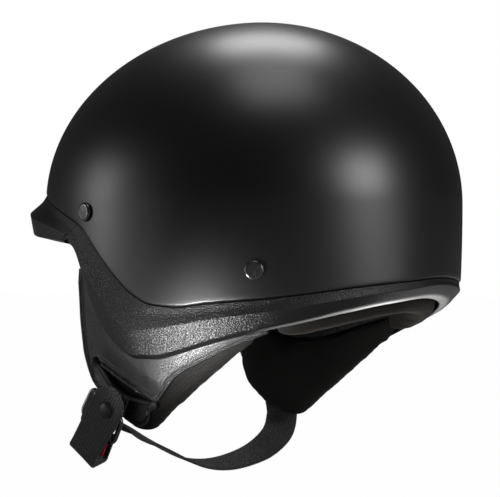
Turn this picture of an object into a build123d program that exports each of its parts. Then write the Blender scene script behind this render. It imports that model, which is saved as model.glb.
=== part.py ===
"""Half shell motorcycle helmet: shell, foam, rim mouldings, liner pads, ear flaps and a double ring chin strap.

Millimetres. +Z is up, the wearer faces -Y and the wearer's left is +X.
The origin is the middle of the head cavity, at the level where the shell is widest.
"""
import os
from math import asin, atan2, ceil, cos, degrees, hypot, radians, sin, sqrt, tan

from build123d import *

os.makedirs("parts", exist_ok=True)

# Outer shell: two half ellipsoids that meet at the widest section
shell_half_width = 122.0
shell_front_length = 145.0
shell_rear_length = 131.0
shell_crown_height = 116.7
shell_taper_height = 375.0
shell_wall = 3.0

# General fits and allowances
fit_gap = 0.3
seat_gap = 0.2
cut_overrun = 60.0
pocket_gap = 1.0

# Rim: how deep the shell's edge dips at the ears and how far the brim stands out in front
rim_drop = 64.0
brim_reach = 13.0
rim_wall = 5.4
rim_flange_height = 8.0
rim_flange_thickness = 2.2
rim_recess = 0.9
rim_tail_inset = 11.6
rim_seam_gap = 0.4
rim_bevel_height = 3.4
rim_step = 3.75
rim_lip_start = -40
rim_band_share = 0.45
rim_band_reach_share = 0.3
rim_lip_share = 0.45
rim_front_lip_share = 0.8
rim_bevel_least_share = 0.7

# Energy liner of rigid foam
foam_thickness = 28.0
foam_front_extra = 2.0
foam_skirt_inset = 14.5
foam_edge_rise = 8.0

# Comfort pads
pad_thickness = 8.0
side_pad_thickness = 12.0
pad_corner = 3.0
crown_pad_radius = 62.0
crown_channel = 5.0
brow_pad_low = -6.0
brow_pad_high = 26.0
brow_pad_start = -132
brow_pad_end = -48
side_pad_low = -52.0
side_pad_high = 14.0
side_pad_half_angle = 36
nape_pad_low = -44.0
nape_pad_high = 6.0
nape_pad_start = 50
nape_pad_end = 130
neck_roll_width = 22.0
neck_roll_drop = 7.5
neck_roll_start = 37.0
neck_roll_end = 143.0
neck_roll_end_share = 0.7
neck_roll_round_share = 0.35
neck_roll_touch_share = 0.22

# Strap hardware
web_width = 22.0
web_thickness = 1.6
ply_bend_radius = 1.44
strap_tilt = 29.0
slot_mid_y = -41.5
slot_mid_z = -116.6
slot_length = 25.0
slot_height = 3.4
slot_to_fold = 45.3
leg_steps = 6
leg_way_gap = 0.8
leg_lead = 2.0
leg_front_press_share = 0.62
leg_rear_press_share = 0.5
rivet_head_radius = 6.0
rivet_head_height = 2.2
rivet_round_share = 0.7
rivet_shank_radius = 2.4
rivet_tail_radius = 4.2
rivet_tail_height = 1.2
plate_length = 27.0
plate_width = 25.0
plate_thickness = 1.2
rivet_front_y = -62.5
rivet_front_z = -5.8
rivet_rear_y = 57.4
rivet_rear_z = -41.5

# Ear flaps: a curved skin, leaning in towards the jaw, with a cushion behind it
flap_radius = 190.0
flap_outer_x = 108.2
flap_middle_y = -8.0
flap_level_z = -85.0
flap_lean = 3.5
flap_skin = 2.0
flap_front_y = -72.2
flap_top_z = -58.3
flap_length = 133.6
flap_drop = 80.0
flap_pad_thickness = 13.0
flap_pad_corner = 4.5
web_space = 3.2
piping_radius = 1.6
lip_band = 2.6
lip_height = 1.6

# Double ring buckle, hung from a stitched loop
ring_wire = 3.2
ring_inner_width = 23.6
ring_height = 18.0
ring_corner = 3.5
ring_splay = 8.0
inner_bar_up = 32.5
ring_bar_step = 3.6
outer_bar_up = 40.0
loop_clearance = 0.3
tab_width = 9.0
tab_ply = 0.6
tab_length = 11.4
tab_side = 3.2
snap_gap = 1.4
weave_radius = 5.0
weave_tight_share = 1.2
weave_start_out = -14.0
weave_start_up = 18.5
weave_inner_up = 25.2
weave_outer_up = 30.2
weave_top_up = 35.5
far_ply_up = 40.0
tail_length = 50.0
fold_join_up = 7.0
fold_low = 0.8
fold_round_share = 0.8
snap_up = 29.0
snap_cap_radius = 5.0
snap_cap_height = 2.0
snap_stud_radius = 2.2
snap_round_share = 0.6
snap_socket_share = 0.9


def shell_radius(azimuth, height, outward=0.0):
    """Distance from the upright axis to the shell's skin: an ellipse whose size follows the height."""
    length = shell_front_length if sin(azimuth) < 0 else shell_rear_length
    reach = shell_crown_height if height > 0 else shell_taper_height
    level = sqrt(1 - (height / reach) ** 2)
    return level / hypot(cos(azimuth) / shell_half_width, sin(azimuth) / length) + outward


def side_point(azimuth, height):
    """Where a rim point shows in the side view."""
    return (shell_radius(azimuth, height) * sin(azimuth), height)


def half_dome(length, inset, depth, turn):
    """Half of an ellipsoid, drawn inwards by inset and closed flat at depth below the widest level."""
    width = shell_half_width - inset
    crown = shell_crown_height - inset
    low = -degrees(atan2(depth / shell_taper_height, sqrt(1 - (depth / shell_taper_height) ** 2)))
    with BuildPart() as half:
        with BuildSketch(Plane.XZ):
            with BuildLine():
                upper = EllipticalCenterArc((0, 0), width, crown, start_angle=0, arc_size=90)
                lower = EllipticalCenterArc((0, 0), width, shell_taper_height, start_angle=low, arc_size=-low)
                Polyline(upper @ 1, (0, -depth), lower @ 0)
            make_face()
        revolve(axis=Axis.Z, revolution_arc=turn)
        scale(by=(1, (length - inset) / width, 1))
    return half.part


def dome(inset, depth, front_extra=0.0):
    """Both halves of the dome, joined."""
    with BuildPart() as whole:
        add(half_dome(shell_rear_length, inset, depth, 180))
        add(half_dome(shell_front_length - front_extra, inset, depth, -180))
    return whole.part


# Rim stations: azimuth in degrees from the left side, front negative. Then the heights of the shell's edge and
# of the crease over the rim drop, how far the crease stands out over the brim's reach, and the height of the
# lower edge over the rim drop
rim_station_shares = [
    (-90, 0.172, -0.031, 1.00, -0.258),
    (-75, 0.148, -0.062, 0.92, -0.297),
    (-60, 0.073, -0.141, 0.69, -0.360),
    (-50, -0.023, -0.211, 0.42, -0.383),
    (-42, -0.109, -0.281, 0.23, -0.406),
    (-37, -0.169, -0.367, 0.15, -0.484),
    (-33, -0.234, -0.531, 0.12, -0.727),
    (-30, -0.309, -0.688, 0.10, -0.945),
    (-26, -0.445, -0.828, 0.09, -1.172),
    (-22, -0.578, -0.984, 0.09, -1.320),
    (-17, -0.731, -1.148, 0.10, -1.441),
    (-12, -0.867, -1.219, 0.115, -1.503),
    (-5, -0.973, -1.213, 0.115, -1.503),
    (4, -0.997, -1.172, 0.115, -1.444),
    (14, -0.961, -1.117, 0.108, -1.352),
    (28, -0.923, -1.055, 0.077, -1.241),
    (42, -0.875, -0.984, 0.038, -1.148),
    (56, -0.816, -0.914, 0.0, -1.059),
    (72, -0.766, -0.844, 0.0, -0.977),
    (90, -0.727, -0.797, 0.0, -0.930),
]
# How far the lower edge is drawn in, over the tail inset, at the azimuths where it changes
tail_inset_shares = [(-90, 0.30), (-40, 0.34), (28, 0.36), (42, 0.60), (56, 0.90), (72, 1.0), (90, 1.0)]


def between(table, place):
    """Smooth reading of a two-column table, with no overshoot between its rows."""
    slopes = [(after[1] - before[1]) / (after[0] - before[0]) for before, after in zip(table, table[1:])]
    tangents = [0.0]
    for before, after in zip(slopes, slopes[1:]):
        tangents.append(2 * before * after / (before + after) if before * after > 0 else 0.0)
    tangents.append(0.0)
    for number, (before, after) in enumerate(zip(table, table[1:])):
        if place <= after[0]:
            run = after[0] - before[0]
            share = (place - before[0]) / run
            ease = share * share * (3 - 2 * share)
            bend_in = share * (1 - share) ** 2 * run * tangents[number]
            bend_out = share ** 2 * (share - 1) * run * tangents[number + 1]
            return before[1] + (after[1] - before[1]) * ease + bend_in + bend_out
    return table[-1][1]


def rim_rows():
    """The stations, with more read between them so that no step is wider than the rim step."""
    columns = [[(row[0], row[place]) for row in rim_station_shares] for place in range(1, 5)]
    rows = [rim_station_shares[0]]
    for before, after in zip(rim_station_shares, rim_station_shares[1:]):
        steps = ceil((after[0] - before[0]) / rim_step)
        for step in range(1, steps + 1):
            azimuth = before[0] + (after[0] - before[0]) * step / steps
            rows.append((azimuth, *[between(column, azimuth) for column in columns]))
    return rows


edge_table = [(row[0], row[1] * rim_drop) for row in rim_rows()]
lower_table = [(row[0], row[4] * rim_drop) for row in rim_rows()]
edge_line = [side_point(radians(azimuth), height) for azimuth, height in edge_table]
lower_line = [side_point(radians(azimuth), height) for azimuth, height in lower_table]


def radial_plane(azimuth):
    """Upright plane through the axis, its x pointing outwards at the azimuth."""
    outwards = (cos(azimuth), sin(azimuth), 0)
    return Plane(origin=(0, 0, 0), x_dir=outwards, z_dir=(sin(azimuth), -cos(azimuth), 0))


def keep_side_region(side_line, lift, upper):
    """Everything above, or below, a rim line lifted by a height, right across the helmet."""
    line = [(y, z + lift) for y, z in side_line]
    ahead = (-shell_front_length - cut_overrun, line[0][1])
    behind = (shell_rear_length + cut_overrun, line[-1][1])
    far = shell_crown_height + cut_overrun if upper else -shell_crown_height - cut_overrun
    reach = shell_half_width + cut_overrun
    with BuildPart() as prism:
        with BuildSketch(Plane.YZ.offset(-reach)):
            with BuildLine():
                Line(ahead, line[0])
                Spline(*line)
                Polyline(line[-1], behind, (behind[0], far), (ahead[0], far), ahead)
            make_face()
        extrude(amount=2 * reach)
    return prism.part


def rivet_plane(y, z, side):
    """Plane on the shell's skin, its z pointing outwards and its y nearly upright."""
    length = shell_front_length if y < 0 else shell_rear_length
    x = shell_half_width * sqrt(1 - (y / length) ** 2 - (z / shell_taper_height) ** 2)
    normal = Vector(x / shell_half_width ** 2, y / length ** 2, z / shell_taper_height ** 2).normalized()
    along = Vector(0, 0, 1).cross(normal).normalized()
    if side < 0:
        normal = Vector(-normal.X, normal.Y, normal.Z)
        along = Vector(along.X, -along.Y, along.Z)
    return Plane(origin=(side * x, y, z), x_dir=along, z_dir=normal)


# Four rivets, two on each side of the helmet
rivet_places = [(rivet_front_y, rivet_front_z), (rivet_rear_y, rivet_rear_z)]
rivet_planes = [rivet_plane(y, z, side) for side in (1, -1) for y, z in rivet_places]
plate_depth = shell_wall + fit_gap + rivet_tail_height
web_depth = plate_depth + plate_thickness + fit_gap + web_thickness / 2


def flap_x(y, z, inward=0.0):
    """Outer face of the left flap's skin, or a surface inward of it, at a place in the side view."""
    lean = radians(flap_lean)
    sag = flap_radius - sqrt((flap_radius - inward) ** 2 - (y - flap_middle_y) ** 2)
    return flap_outer_x - sag / cos(lean) + (z - flap_level_z) * tan(lean)


def make_shell():
    """Shell of even wall, cut along the rim line and drilled for the rivets."""
    with BuildPart() as outer_shell:
        add(dome(0, shell_taper_height / 4))
        add(dome(shell_wall, shell_taper_height / 3), mode=Mode.SUBTRACT)
        add(keep_side_region(edge_line, 0, True), mode=Mode.INTERSECT)
        for place in rivet_planes:
            with BuildSketch(place.offset(shell_wall)):
                Circle(rivet_shank_radius + seat_gap)
            extrude(amount=-shell_wall * 3, mode=Mode.SUBTRACT)
    return outer_shell.part


def edge_height(azimuth, out):
    """Height of the shell's cut edge at an azimuth, read at a distance out from its skin."""
    reach = shell_radius(radians(azimuth), between(edge_table, azimuth), out)
    return between(edge_line, reach * sin(radians(azimuth)))


def rim_section(row):
    """Points of the rim's cross-section: distance out from the shell's skin and height."""
    azimuth, edge_share, crease_share, reach_share, lower_share = row
    edge = edge_share * rim_drop - seat_gap
    crease = crease_share * rim_drop
    lower = lower_share * rim_drop
    tail = between(tail_inset_shares, azimuth) * rim_tail_inset
    reach = reach_share * brim_reach
    bevel = rim_bevel_height * max(tail / rim_tail_inset, rim_bevel_least_share)
    band = edge + (crease - edge) * rim_band_share
    flange_out = -shell_wall - seat_gap
    flange_in = flange_out - rim_flange_thickness
    inner = min(-rim_wall, -tail - rim_flange_thickness)
    lip_out = reach * rim_front_lip_share
    if azimuth > rim_lip_start:
        lip_out = (reach - tail) * rim_lip_share
    return [
        (flange_out, edge + rim_flange_height),
        (flange_out, edge_height(azimuth, -shell_wall) - seat_gap),
        (-rim_recess, edge_height(azimuth, -rim_recess) - seat_gap),
        (reach * rim_band_reach_share - rim_recess, band),
        (reach, crease),
        (lip_out, lower + bevel),
        (-tail, lower),
        (inner, lower),
        (flange_in, edge - rim_flange_thickness),
        (flange_in, edge + rim_flange_height),
    ]


def rebate_section(row):
    """Room kept outside the foam for the rim's flange and, below it, for the flap's upper edge."""
    top = row[1] * rim_drop + rim_flange_height + fit_gap
    low = row[4] * rim_drop - rim_drop / 2
    return [(cut_overrun / 2, top), (-foam_skirt_inset, top), (-foam_skirt_inset, low), (cut_overrun / 2, low)]


def make_rim_ring(section):
    """A whole ring of one kind of section: half of it lofted from front to rear, then mirrored."""
    with BuildPart() as half_ring:
        for row in rim_rows():
            azimuth = radians(row[0])
            points = [(shell_radius(azimuth, z, out), z) for out, z in section(row)]
            with BuildSketch(radial_plane(azimuth)):
                with BuildLine():
                    Polyline(*points, close=True)
                make_face()
        loft(ruled=True)
    with BuildPart() as ring:
        add(half_ring.part)
        add(mirror(half_ring.part, about=Plane.YZ, mode=Mode.PRIVATE))
    return ring.part


# The slanted joint line between the brim and the side moulding, in the side view
seam_upper_share = (-0.517, -0.231)
seam_lower_share = (-0.617, -0.380)


def seam_prism(shift):
    """Everything ahead of the slanted joint line, moved back by shift."""
    upper = Vector(seam_upper_share[0] * shell_front_length + shift, seam_upper_share[1] * rim_drop)
    lower = Vector(seam_lower_share[0] * shell_front_length + shift, seam_lower_share[1] * rim_drop)
    run = (upper - lower).normalized() * (shell_rear_length + cut_overrun) / 2
    top = upper + run
    low = lower - run
    ahead = -shell_front_length - cut_overrun
    reach = shell_half_width + cut_overrun
    with BuildPart() as prism:
        with BuildSketch(Plane.YZ.offset(-reach)):
            with BuildLine():
                Polyline((top.X, top.Y), (low.X, low.Y), (ahead, low.Y), (ahead, top.Y), close=True)
            make_face()
        extrude(amount=2 * reach)
    return prism.part


def make_brim(ring):
    """Front part of the rim ring, ahead of the slanted joint."""
    with BuildPart() as front_brim:
        add(ring)
        add(seam_prism(0), mode=Mode.INTERSECT)
    return front_brim.part


def make_side_moulding(ring):
    """The rest of the rim ring, down both sides and round the rear."""
    with BuildPart() as side_rear_trim:
        add(ring)
        add(seam_prism(rim_seam_gap), mode=Mode.SUBTRACT)
    return side_rear_trim.part


foam_inner_inset = shell_wall + foam_thickness
foam_outer_inset = shell_wall + fit_gap


def make_foam():
    """Foam cap with a rebate for the rim's flange, pockets for the anchor plates and ways for the webbing."""
    depth = shell_taper_height / 3
    with BuildPart() as eps_liner:
        add(dome(foam_outer_inset, depth))
        add(keep_side_region(lower_line, foam_edge_rise, True), mode=Mode.INTERSECT)
        add(rebate, mode=Mode.SUBTRACT)
        add(dome(foam_inner_inset, depth * 1.1, foam_front_extra), mode=Mode.SUBTRACT)
        pocket_depth = web_depth + web_thickness
        for place in rivet_planes:
            with BuildSketch(place.offset(-pocket_depth)):
                Rectangle(plate_width + 2 * pocket_gap, plate_length + 2 * pocket_gap)
            extrude(amount=pocket_depth + 2 * pocket_gap, mode=Mode.SUBTRACT)
        for side in (1, -1):
            for y, z in rivet_places:
                add(make_leg(y, z, side, 2 * leg_way_gap), mode=Mode.SUBTRACT)
    return eps_liner.part


# Buckle frame: out from the flap's skin at the slot, up along the strap and across it
slot_centre = Vector(flap_x(slot_mid_y, slot_mid_z), slot_mid_y, slot_mid_z)
slot_turn = asin((slot_mid_y - flap_middle_y) / flap_radius)
slot_lean = radians(flap_lean)
strap_out = Vector(cos(slot_turn) * cos(slot_lean), sin(slot_turn), -cos(slot_turn) * sin(slot_lean))
strap_across = Vector(0, 0, 1).cross(strap_out).normalized()
strap_across = strap_across.rotate(Axis((0, 0, 0), tuple(strap_out)), -strap_tilt)
strap_up = strap_out.cross(strap_across)
fold_origin = slot_centre - strap_up * slot_to_fold


def leg_stations(y, z):
    """Middle of the left-hand webbing leg at its anchor, at the foam's edge and behind the slot."""
    place = rivet_plane(y, z, 1)
    top = place.origin - place.z_dir * web_depth + place.y_dir * plate_length * 0.3
    low_y = slot_mid_y + slot_height * 2
    low_z = slot_mid_z + slot_height * 4
    if y > 0:
        low_y = slot_mid_y + web_width * 0.9
        low_z = slot_mid_z + web_width * 0.75
    inward = flap_skin + web_space / 2
    share = leg_front_press_share if y < 0 else leg_rear_press_share
    stations = [top]
    for step in range(leg_steps):
        place = share + (1 - share) * step / (leg_steps - 1)
        step_y = top.Y + (low_y - top.Y) * place
        step_z = top.Z + (low_z - top.Z) * place
        stations.append(Vector(flap_x(step_y, step_z, inward), step_y, step_z))
    return stations


def make_leg(y, z, side, widen=0.0):
    """Flat webbing from the anchor plate down to the slot."""
    stations = leg_stations(y, z)
    run = (stations[1] - stations[0]).normalized()
    with BuildPart() as leg:
        for number, place in enumerate(stations):
            ahead = stations[min(number + 1, leg_steps)] - stations[max(number - 1, 0)]
            direction = ahead.normalized()
            outward = Vector(1, (place.Y - flap_middle_y) / flap_radius, -tan(radians(flap_lean)))
            if number == 0:
                outward = rivet_plane(y, z, 1).z_dir
            across = outward.cross(direction).normalized()
            if widen and number == 0:
                place = place - run * leg_lead
            face = Plane(origin=place, x_dir=across, z_dir=direction)
            with BuildSketch(face):
                Rectangle(web_width + widen, web_thickness + widen)
        loft(ruled=True)
    if side > 0:
        return leg.part
    return mirror(leg.part, about=Plane.YZ, mode=Mode.PRIVATE)


def make_yoke(side):
    """Front and rear legs; the rear one is cut short where the front one passes."""
    with BuildPart() as strap_yoke:
        add(make_leg(rivet_rear_y, rivet_rear_z, side))
        add(make_leg(rivet_front_y, rivet_front_z, side, 2 * seat_gap), mode=Mode.SUBTRACT)
        add(make_leg(rivet_front_y, rivet_front_z, side))
    return strap_yoke.part


def make_rivet(place):
    """Domed head outside, shank through the shell and plate, and a flattened tail inside."""
    with BuildPart() as rivet:
        with BuildSketch(place.offset(seat_gap)):
            Circle(rivet_head_radius)
        extrude(amount=rivet_head_height)
        rim = rivet.edges().sort_by(lambda edge: place.to_local_coords(edge.center()).Z)[-1]
        fillet(rim, rivet_head_height * rivet_round_share)
        with BuildSketch(place.offset(seat_gap)):
            Circle(rivet_shank_radius)
        extrude(amount=-plate_depth - seat_gap * 2)
        with BuildSketch(place.offset(-plate_depth)):
            Circle(rivet_tail_radius)
        extrude(amount=rivet_tail_height)
    return rivet.part


def make_rivets():
    """All four rivets, as one node of four solids."""
    with BuildPart() as strap_rivets:
        for place in rivet_planes:
            add(make_rivet(place))
    return strap_rivets.part


def make_plates():
    """Steel plates that spread the strap's pull; the webbing is sewn to their inner face."""
    with BuildPart() as anchor_plates:
        for place in rivet_planes:
            with BuildSketch(place.offset(-plate_depth - seat_gap)):
                RectangleRounded(plate_width, plate_length, pad_corner)
            extrude(amount=-plate_thickness + seat_gap)
            with BuildSketch(place.offset(-plate_depth)):
                Circle(rivet_shank_radius + seat_gap / 2)
            extrude(amount=-plate_thickness * 2, mode=Mode.SUBTRACT)
        add(rebate, mode=Mode.SUBTRACT)
    return anchor_plates.part


# Comfort pads: layers between two domes, cut to their own patch of the cavity
pad_outer_inset = foam_inner_inset + fit_gap


def pad_layer(thickness):
    """Layer of padding against the foam."""
    depth = shell_taper_height / 3
    with BuildPart() as layer:
        add(dome(pad_outer_inset, depth, foam_front_extra))
        add(dome(pad_outer_inset + thickness, depth * 1.1, foam_front_extra), mode=Mode.SUBTRACT)
    return layer.part


def wedge(first, last, low, high):
    """Upright wedge between two azimuths in degrees and two heights."""
    reach = 2 * shell_front_length
    angles = [radians(angle) for angle in (first, (first + last) / 2, last)]
    rim = [(reach * cos(angle), reach * sin(angle)) for angle in angles]
    with BuildPart() as prism:
        with BuildSketch(Plane.XY.offset(low)):
            with BuildLine():
                Polyline((0, 0), *rim, close=True)
            make_face()
        extrude(amount=high - low)
    return prism.part


def make_wall_pad(first, last, low, high, thickness):
    """Pad on the cavity's wall between two azimuths and two heights."""
    with BuildPart() as wall_pad:
        add(pad_layer(thickness))
        add(wedge(first, last, low, high), mode=Mode.INTERSECT)
    return wall_pad.part


def make_crown_pad():
    """Round crown pad: a thin base with four lobes parted by sewn channels."""
    with BuildPart() as lobes:
        add(pad_layer(pad_thickness))
        with BuildSketch():
            Circle(crown_pad_radius)
            Rectangle(crown_channel, crown_pad_radius * 2, mode=Mode.SUBTRACT)
            Rectangle(crown_pad_radius * 2, crown_channel, mode=Mode.SUBTRACT)
        extrude(amount=shell_crown_height, mode=Mode.INTERSECT)
    with BuildPart() as crown_pad:
        add(pad_layer(pad_thickness / 2))
        with BuildSketch():
            Circle(crown_pad_radius)
        extrude(amount=shell_crown_height, mode=Mode.INTERSECT)
        add(lobes.part)
    return crown_pad.part


def make_neck_roll():
    """Padded roll under the foam round the nape, tapered at both ends."""
    with BuildPart() as neck_roll:
        steps = ceil((neck_roll_end - neck_roll_start) / rim_step)
        for step in range(steps + 1):
            turn = neck_roll_start + (neck_roll_end - neck_roll_start) * step / steps
            azimuth = radians(turn)
            mirrored = turn if turn <= 90 else 180 - turn
            lower = between(lower_table, mirrored)
            size = 1 if 0 < step < steps else neck_roll_end_share
            outer = shell_radius(azimuth, lower) - foam_skirt_inset - 2 * fit_gap
            inner = outer - neck_roll_width
            touch = inner + neck_roll_width * neck_roll_touch_share
            top = between(lower_line, touch * sin(azimuth)) + foam_edge_rise - fit_gap
            bottom = lower - neck_roll_drop
            middle = ((inner + outer) / 2, (top + bottom) / 2)
            width = neck_roll_width * size
            height = (top - bottom) * size
            with BuildSketch(radial_plane(azimuth)):
                with Locations(middle):
                    RectangleRounded(width, height, min(width, height) * neck_roll_round_share)
        loft(ruled=True)
    return neck_roll.part


# Flap outlines in the side view, over the flap's length back from its front edge and its drop from its top
flap_front_shares = [(0.0, 0.0), (0.006, 0.184), (0.018, 0.365),
                     (0.034, 0.459), (0.068, 0.612), (0.102, 0.742)]
flap_tongue_shares = [(0.166, 0.815), (0.290, 0.900), (0.302, 0.959),
                      (0.338, 1.0), (0.382, 0.966), (0.396, 0.895)]
flap_rear_shares = [(0.432, 0.824), (0.478, 0.738), (0.552, 0.604),
                    (0.717, 0.459), (0.914, 0.316), (0.985, 0.268)]
flap_tuck_shares = [(0.985, 0.130), (0.810, 0.184), (0.540, 0.284),
                    (0.346, 0.326), (0.204, 0.171), (0.090, 0.0)]
pad_outline_shares = [(0.031, 0.10), (0.043, 0.446), (0.046, 0.571), (0.080, 0.759), (0.144, 0.890),
                      (0.219, 0.984), (0.331, 1.059), (0.406, 1.009), (0.480, 0.909), (0.593, 0.765),
                      (0.720, 0.634), (0.840, 0.503), (0.930, 0.409), (0.965, 0.10)]


def flap_points(shares):
    """Side-view places of outline points given as shares of the flap."""
    return [(flap_front_y + along * flap_length, flap_top_z - down * flap_drop) for along, down in shares]


def flap_layer(inward, thickness):
    """Slice of the leaning cylinder that the flap follows, on the left."""
    lean = radians(flap_lean)
    axis_x = flap_outer_x - flap_radius / cos(lean)
    middle = Plane(origin=(axis_x, flap_middle_y, flap_level_z), x_dir=(cos(lean), 0, -sin(lean)),
                   z_dir=(sin(lean), 0, cos(lean)))
    with BuildPart() as layer:
        with BuildSketch(middle.offset(-flap_drop * 2)):
            Circle(flap_radius - inward)
            Circle(flap_radius - inward - thickness, mode=Mode.SUBTRACT)
        extrude(amount=flap_drop * 4)
    return layer.part


def left_prism(*curves):
    """Side-view region bounded by smooth runs of points, carried across the left side of the helmet."""
    with BuildPart() as prism:
        with BuildSketch(Plane.YZ.offset(shell_half_width / 2)):
            with BuildLine():
                for number, points in enumerate(curves):
                    following = curves[(number + 1) % len(curves)]
                    Spline(*points)
                    Line(points[-1], following[0])
            make_face()
        extrude(amount=shell_half_width)
    return prism.part


def front_band(widen):
    """Band of the side view along the flap's front edge, where the piping runs."""
    with BuildPart() as prism:
        with BuildSketch(Plane.YZ.offset(shell_half_width / 2)):
            with BuildLine() as edge:
                Spline(*flap_points(flap_front_shares))
            trace(edge.edges(), line_width=2 * piping_radius + widen)
        extrude(amount=shell_half_width)
    return prism.part


buckle_face = Plane(origin=fold_origin, x_dir=strap_across, z_dir=strap_out)


def slot_cutter(widen, depth):
    """Stadium prism through the flap at the strap slot."""
    with BuildPart() as cutter:
        with BuildSketch(Plane(origin=slot_centre - strap_out * depth, x_dir=strap_across, z_dir=strap_out)):
            SlotOverall(slot_length + widen, slot_height + widen)
        extrude(amount=2 * depth)
    return cutter.part


def make_flap_skin():
    """Grained outer skin of the left ear flap, tucked up behind the rim, with its strap slot."""
    runs = [flap_points(shares) for shares in (flap_front_shares, flap_tongue_shares, flap_rear_shares,
                                               flap_tuck_shares)]
    with BuildPart() as flap_skin_part:
        add(flap_layer(0, flap_skin))
        add(left_prism(*runs), mode=Mode.INTERSECT)
        add(front_band(0), mode=Mode.SUBTRACT)
        add(slot_cutter(0, flap_pad_thickness / 2), mode=Mode.SUBTRACT)
    return flap_skin_part.part


def make_flap_piping():
    """Bead along the front edge of the left flap."""
    with BuildPart() as piping:
        add(flap_layer(flap_skin / 2 - piping_radius, 2 * piping_radius))
        add(front_band(0), mode=Mode.INTERSECT)
    return piping.part


def make_slot_lips():
    """Raised lips round the strap slot of the left flap."""
    with BuildPart() as slot_lips:
        add(flap_layer(-lip_height, lip_height))
        add(slot_cutter(2 * lip_band, flap_pad_thickness / 2), mode=Mode.INTERSECT)
        add(slot_cutter(0, flap_pad_thickness), mode=Mode.SUBTRACT)
    return slot_lips.part


def make_flap_pad():
    """Cushion behind the left flap's skin: flat against the skin, with a rounded inner face."""
    with BuildPart() as flap_pad:
        add(flap_layer(flap_skin + web_space, flap_pad_thickness))
        add(left_prism(flap_points(pad_outline_shares)), mode=Mode.INTERSECT)
        inner = flap_pad.faces().sort_by(Axis.X)[0]
        fillet(inner.edges(), flap_pad_corner)
        add(keep_side_region(lower_line, foam_edge_rise - 2 * fit_gap, False), mode=Mode.INTERSECT)
    return flap_pad.part


def flipped(part):
    """The same piece on the other side of the helmet."""
    return mirror(part, about=Plane.YZ)


def section_plane(across=0.0):
    """Section through the buckle: x is out from the flap, y is up along the strap."""
    return Plane(origin=fold_origin + strap_across * across, x_dir=strap_out, z_dir=-strap_across)


def ribbon(face, points, radii):
    """Webbing whose section follows rounded runs through the points, centred on the face."""
    with BuildPart() as strip:
        with BuildSketch(face.offset(-web_width / 2)):
            with BuildLine() as path:
                FilletPolyline(*points, radius=radii)
            trace(path.edges(), line_width=web_thickness)
        extrude(amount=web_width)
    return strip.part


wrap_radius = ring_wire / 2 + loop_clearance + web_thickness / 2
ply_out = lip_height + web_thickness / 2 + seat_gap
inner_bar_out = ply_out + wrap_radius
outer_bar_out = inner_bar_out + ring_bar_step
inner_bar = (inner_bar_out, inner_bar_up)
outer_bar = (outer_bar_out, outer_bar_up)
bulge_out = outer_bar_out + ring_height * sin(radians(ring_splay)) + wrap_radius
under_outer = outer_bar_up - ring_height * cos(radians(ring_splay)) - wrap_radius
back_out = inner_bar_out - wrap_radius - tab_ply - seat_gap
tail_out = bulge_out + web_thickness + snap_gap
behind_skin = -flap_skin - web_space / 2
ply_end_up = slot_to_fold + slot_height * 1.5


def make_buckle_strap():
    """Stitched loop that carries both rings, and its ply up through the slot."""
    outer_radius = wrap_radius + web_thickness / 2
    inner_radius = wrap_radius - web_thickness / 2
    with BuildPart() as buckle_strap:
        with BuildSketch(section_plane(-web_width / 2)):
            for radius, mode in ((outer_radius, Mode.ADD), (inner_radius, Mode.SUBTRACT)):
                with BuildSketch(mode=Mode.PRIVATE) as hull:
                    with Locations(inner_bar, outer_bar):
                        Circle(radius)
                    make_hull()
                add(hull.sketch, mode=mode)
            with BuildLine() as path:
                FilletPolyline((ply_out, inner_bar_up), (ply_out, slot_to_fold), (behind_skin, slot_to_fold),
                               (behind_skin, ply_end_up), radius=ply_bend_radius)
            trace(path.edges(), line_width=web_thickness)
        extrude(amount=-web_width)
    return buckle_strap.part


def make_ring(bar, splay):
    """Rounded wire ring hanging from a bar place, swung outwards by the splay."""
    half = (ring_inner_width + ring_wire) / 2
    top = ring_wire
    low = ring_corner + ring_wire / 2
    turn = radians(splay)
    facing = strap_out * cos(turn) + strap_up * sin(turn)
    face = Plane(origin=fold_origin + strap_out * bar[0] + strap_up * bar[1], x_dir=strap_across, z_dir=facing)
    with BuildPart() as ring:
        with BuildLine(face) as path:
            FilletPolyline((half, 0), (half, -ring_height), (-half, -ring_height), (-half, 0),
                           radius=[top, low, low, top], close=True)
        with BuildSketch(Plane(origin=path.line @ 0, z_dir=path.line % 0)):
            Circle(ring_wire / 2)
        sweep(path=path.line)
    return ring.part


def make_pull_tab():
    """Narrow ribbon looped over the inner ring's lower bar."""
    place = (inner_bar_out, inner_bar_up - ring_height)
    hole = ring_wire / 2 + seat_gap
    with BuildPart() as pull_tab:
        with BuildSketch(section_plane(tab_side - tab_width / 2)):
            with Locations(place):
                Circle(hole + tab_ply)
            with Locations((place[0], place[1] - tab_length / 2)):
                Rectangle(2 * tab_ply, tab_length)
            with Locations(place):
                Circle(hole, mode=Mode.SUBTRACT)
        extrude(amount=-tab_width)
    return pull_tab.part


def make_strap_weave():
    """The chin strap's run through both rings, round the outer one and back over the inner one."""
    points = [(weave_start_out, weave_start_up), (inner_bar_out - ring_wire / 2, weave_inner_up),
              (outer_bar_out + 2 * loop_clearance, weave_outer_up), (bulge_out, weave_top_up),
              (bulge_out, under_outer), (back_out, under_outer), (back_out, fold_join_up)]
    radii = [weave_radius, weave_radius, web_thickness * weave_tight_share, wrap_radius, wrap_radius]
    return ribbon(section_plane(), points, radii)


def make_strap_fold():
    """Bottom fold between the strap's back ply and its tail."""
    points = [(back_out, fold_join_up), (back_out, fold_low), (tail_out, fold_low), (tail_out, fold_join_up)]
    return ribbon(section_plane(), points, fold_join_up * fold_round_share)


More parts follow.
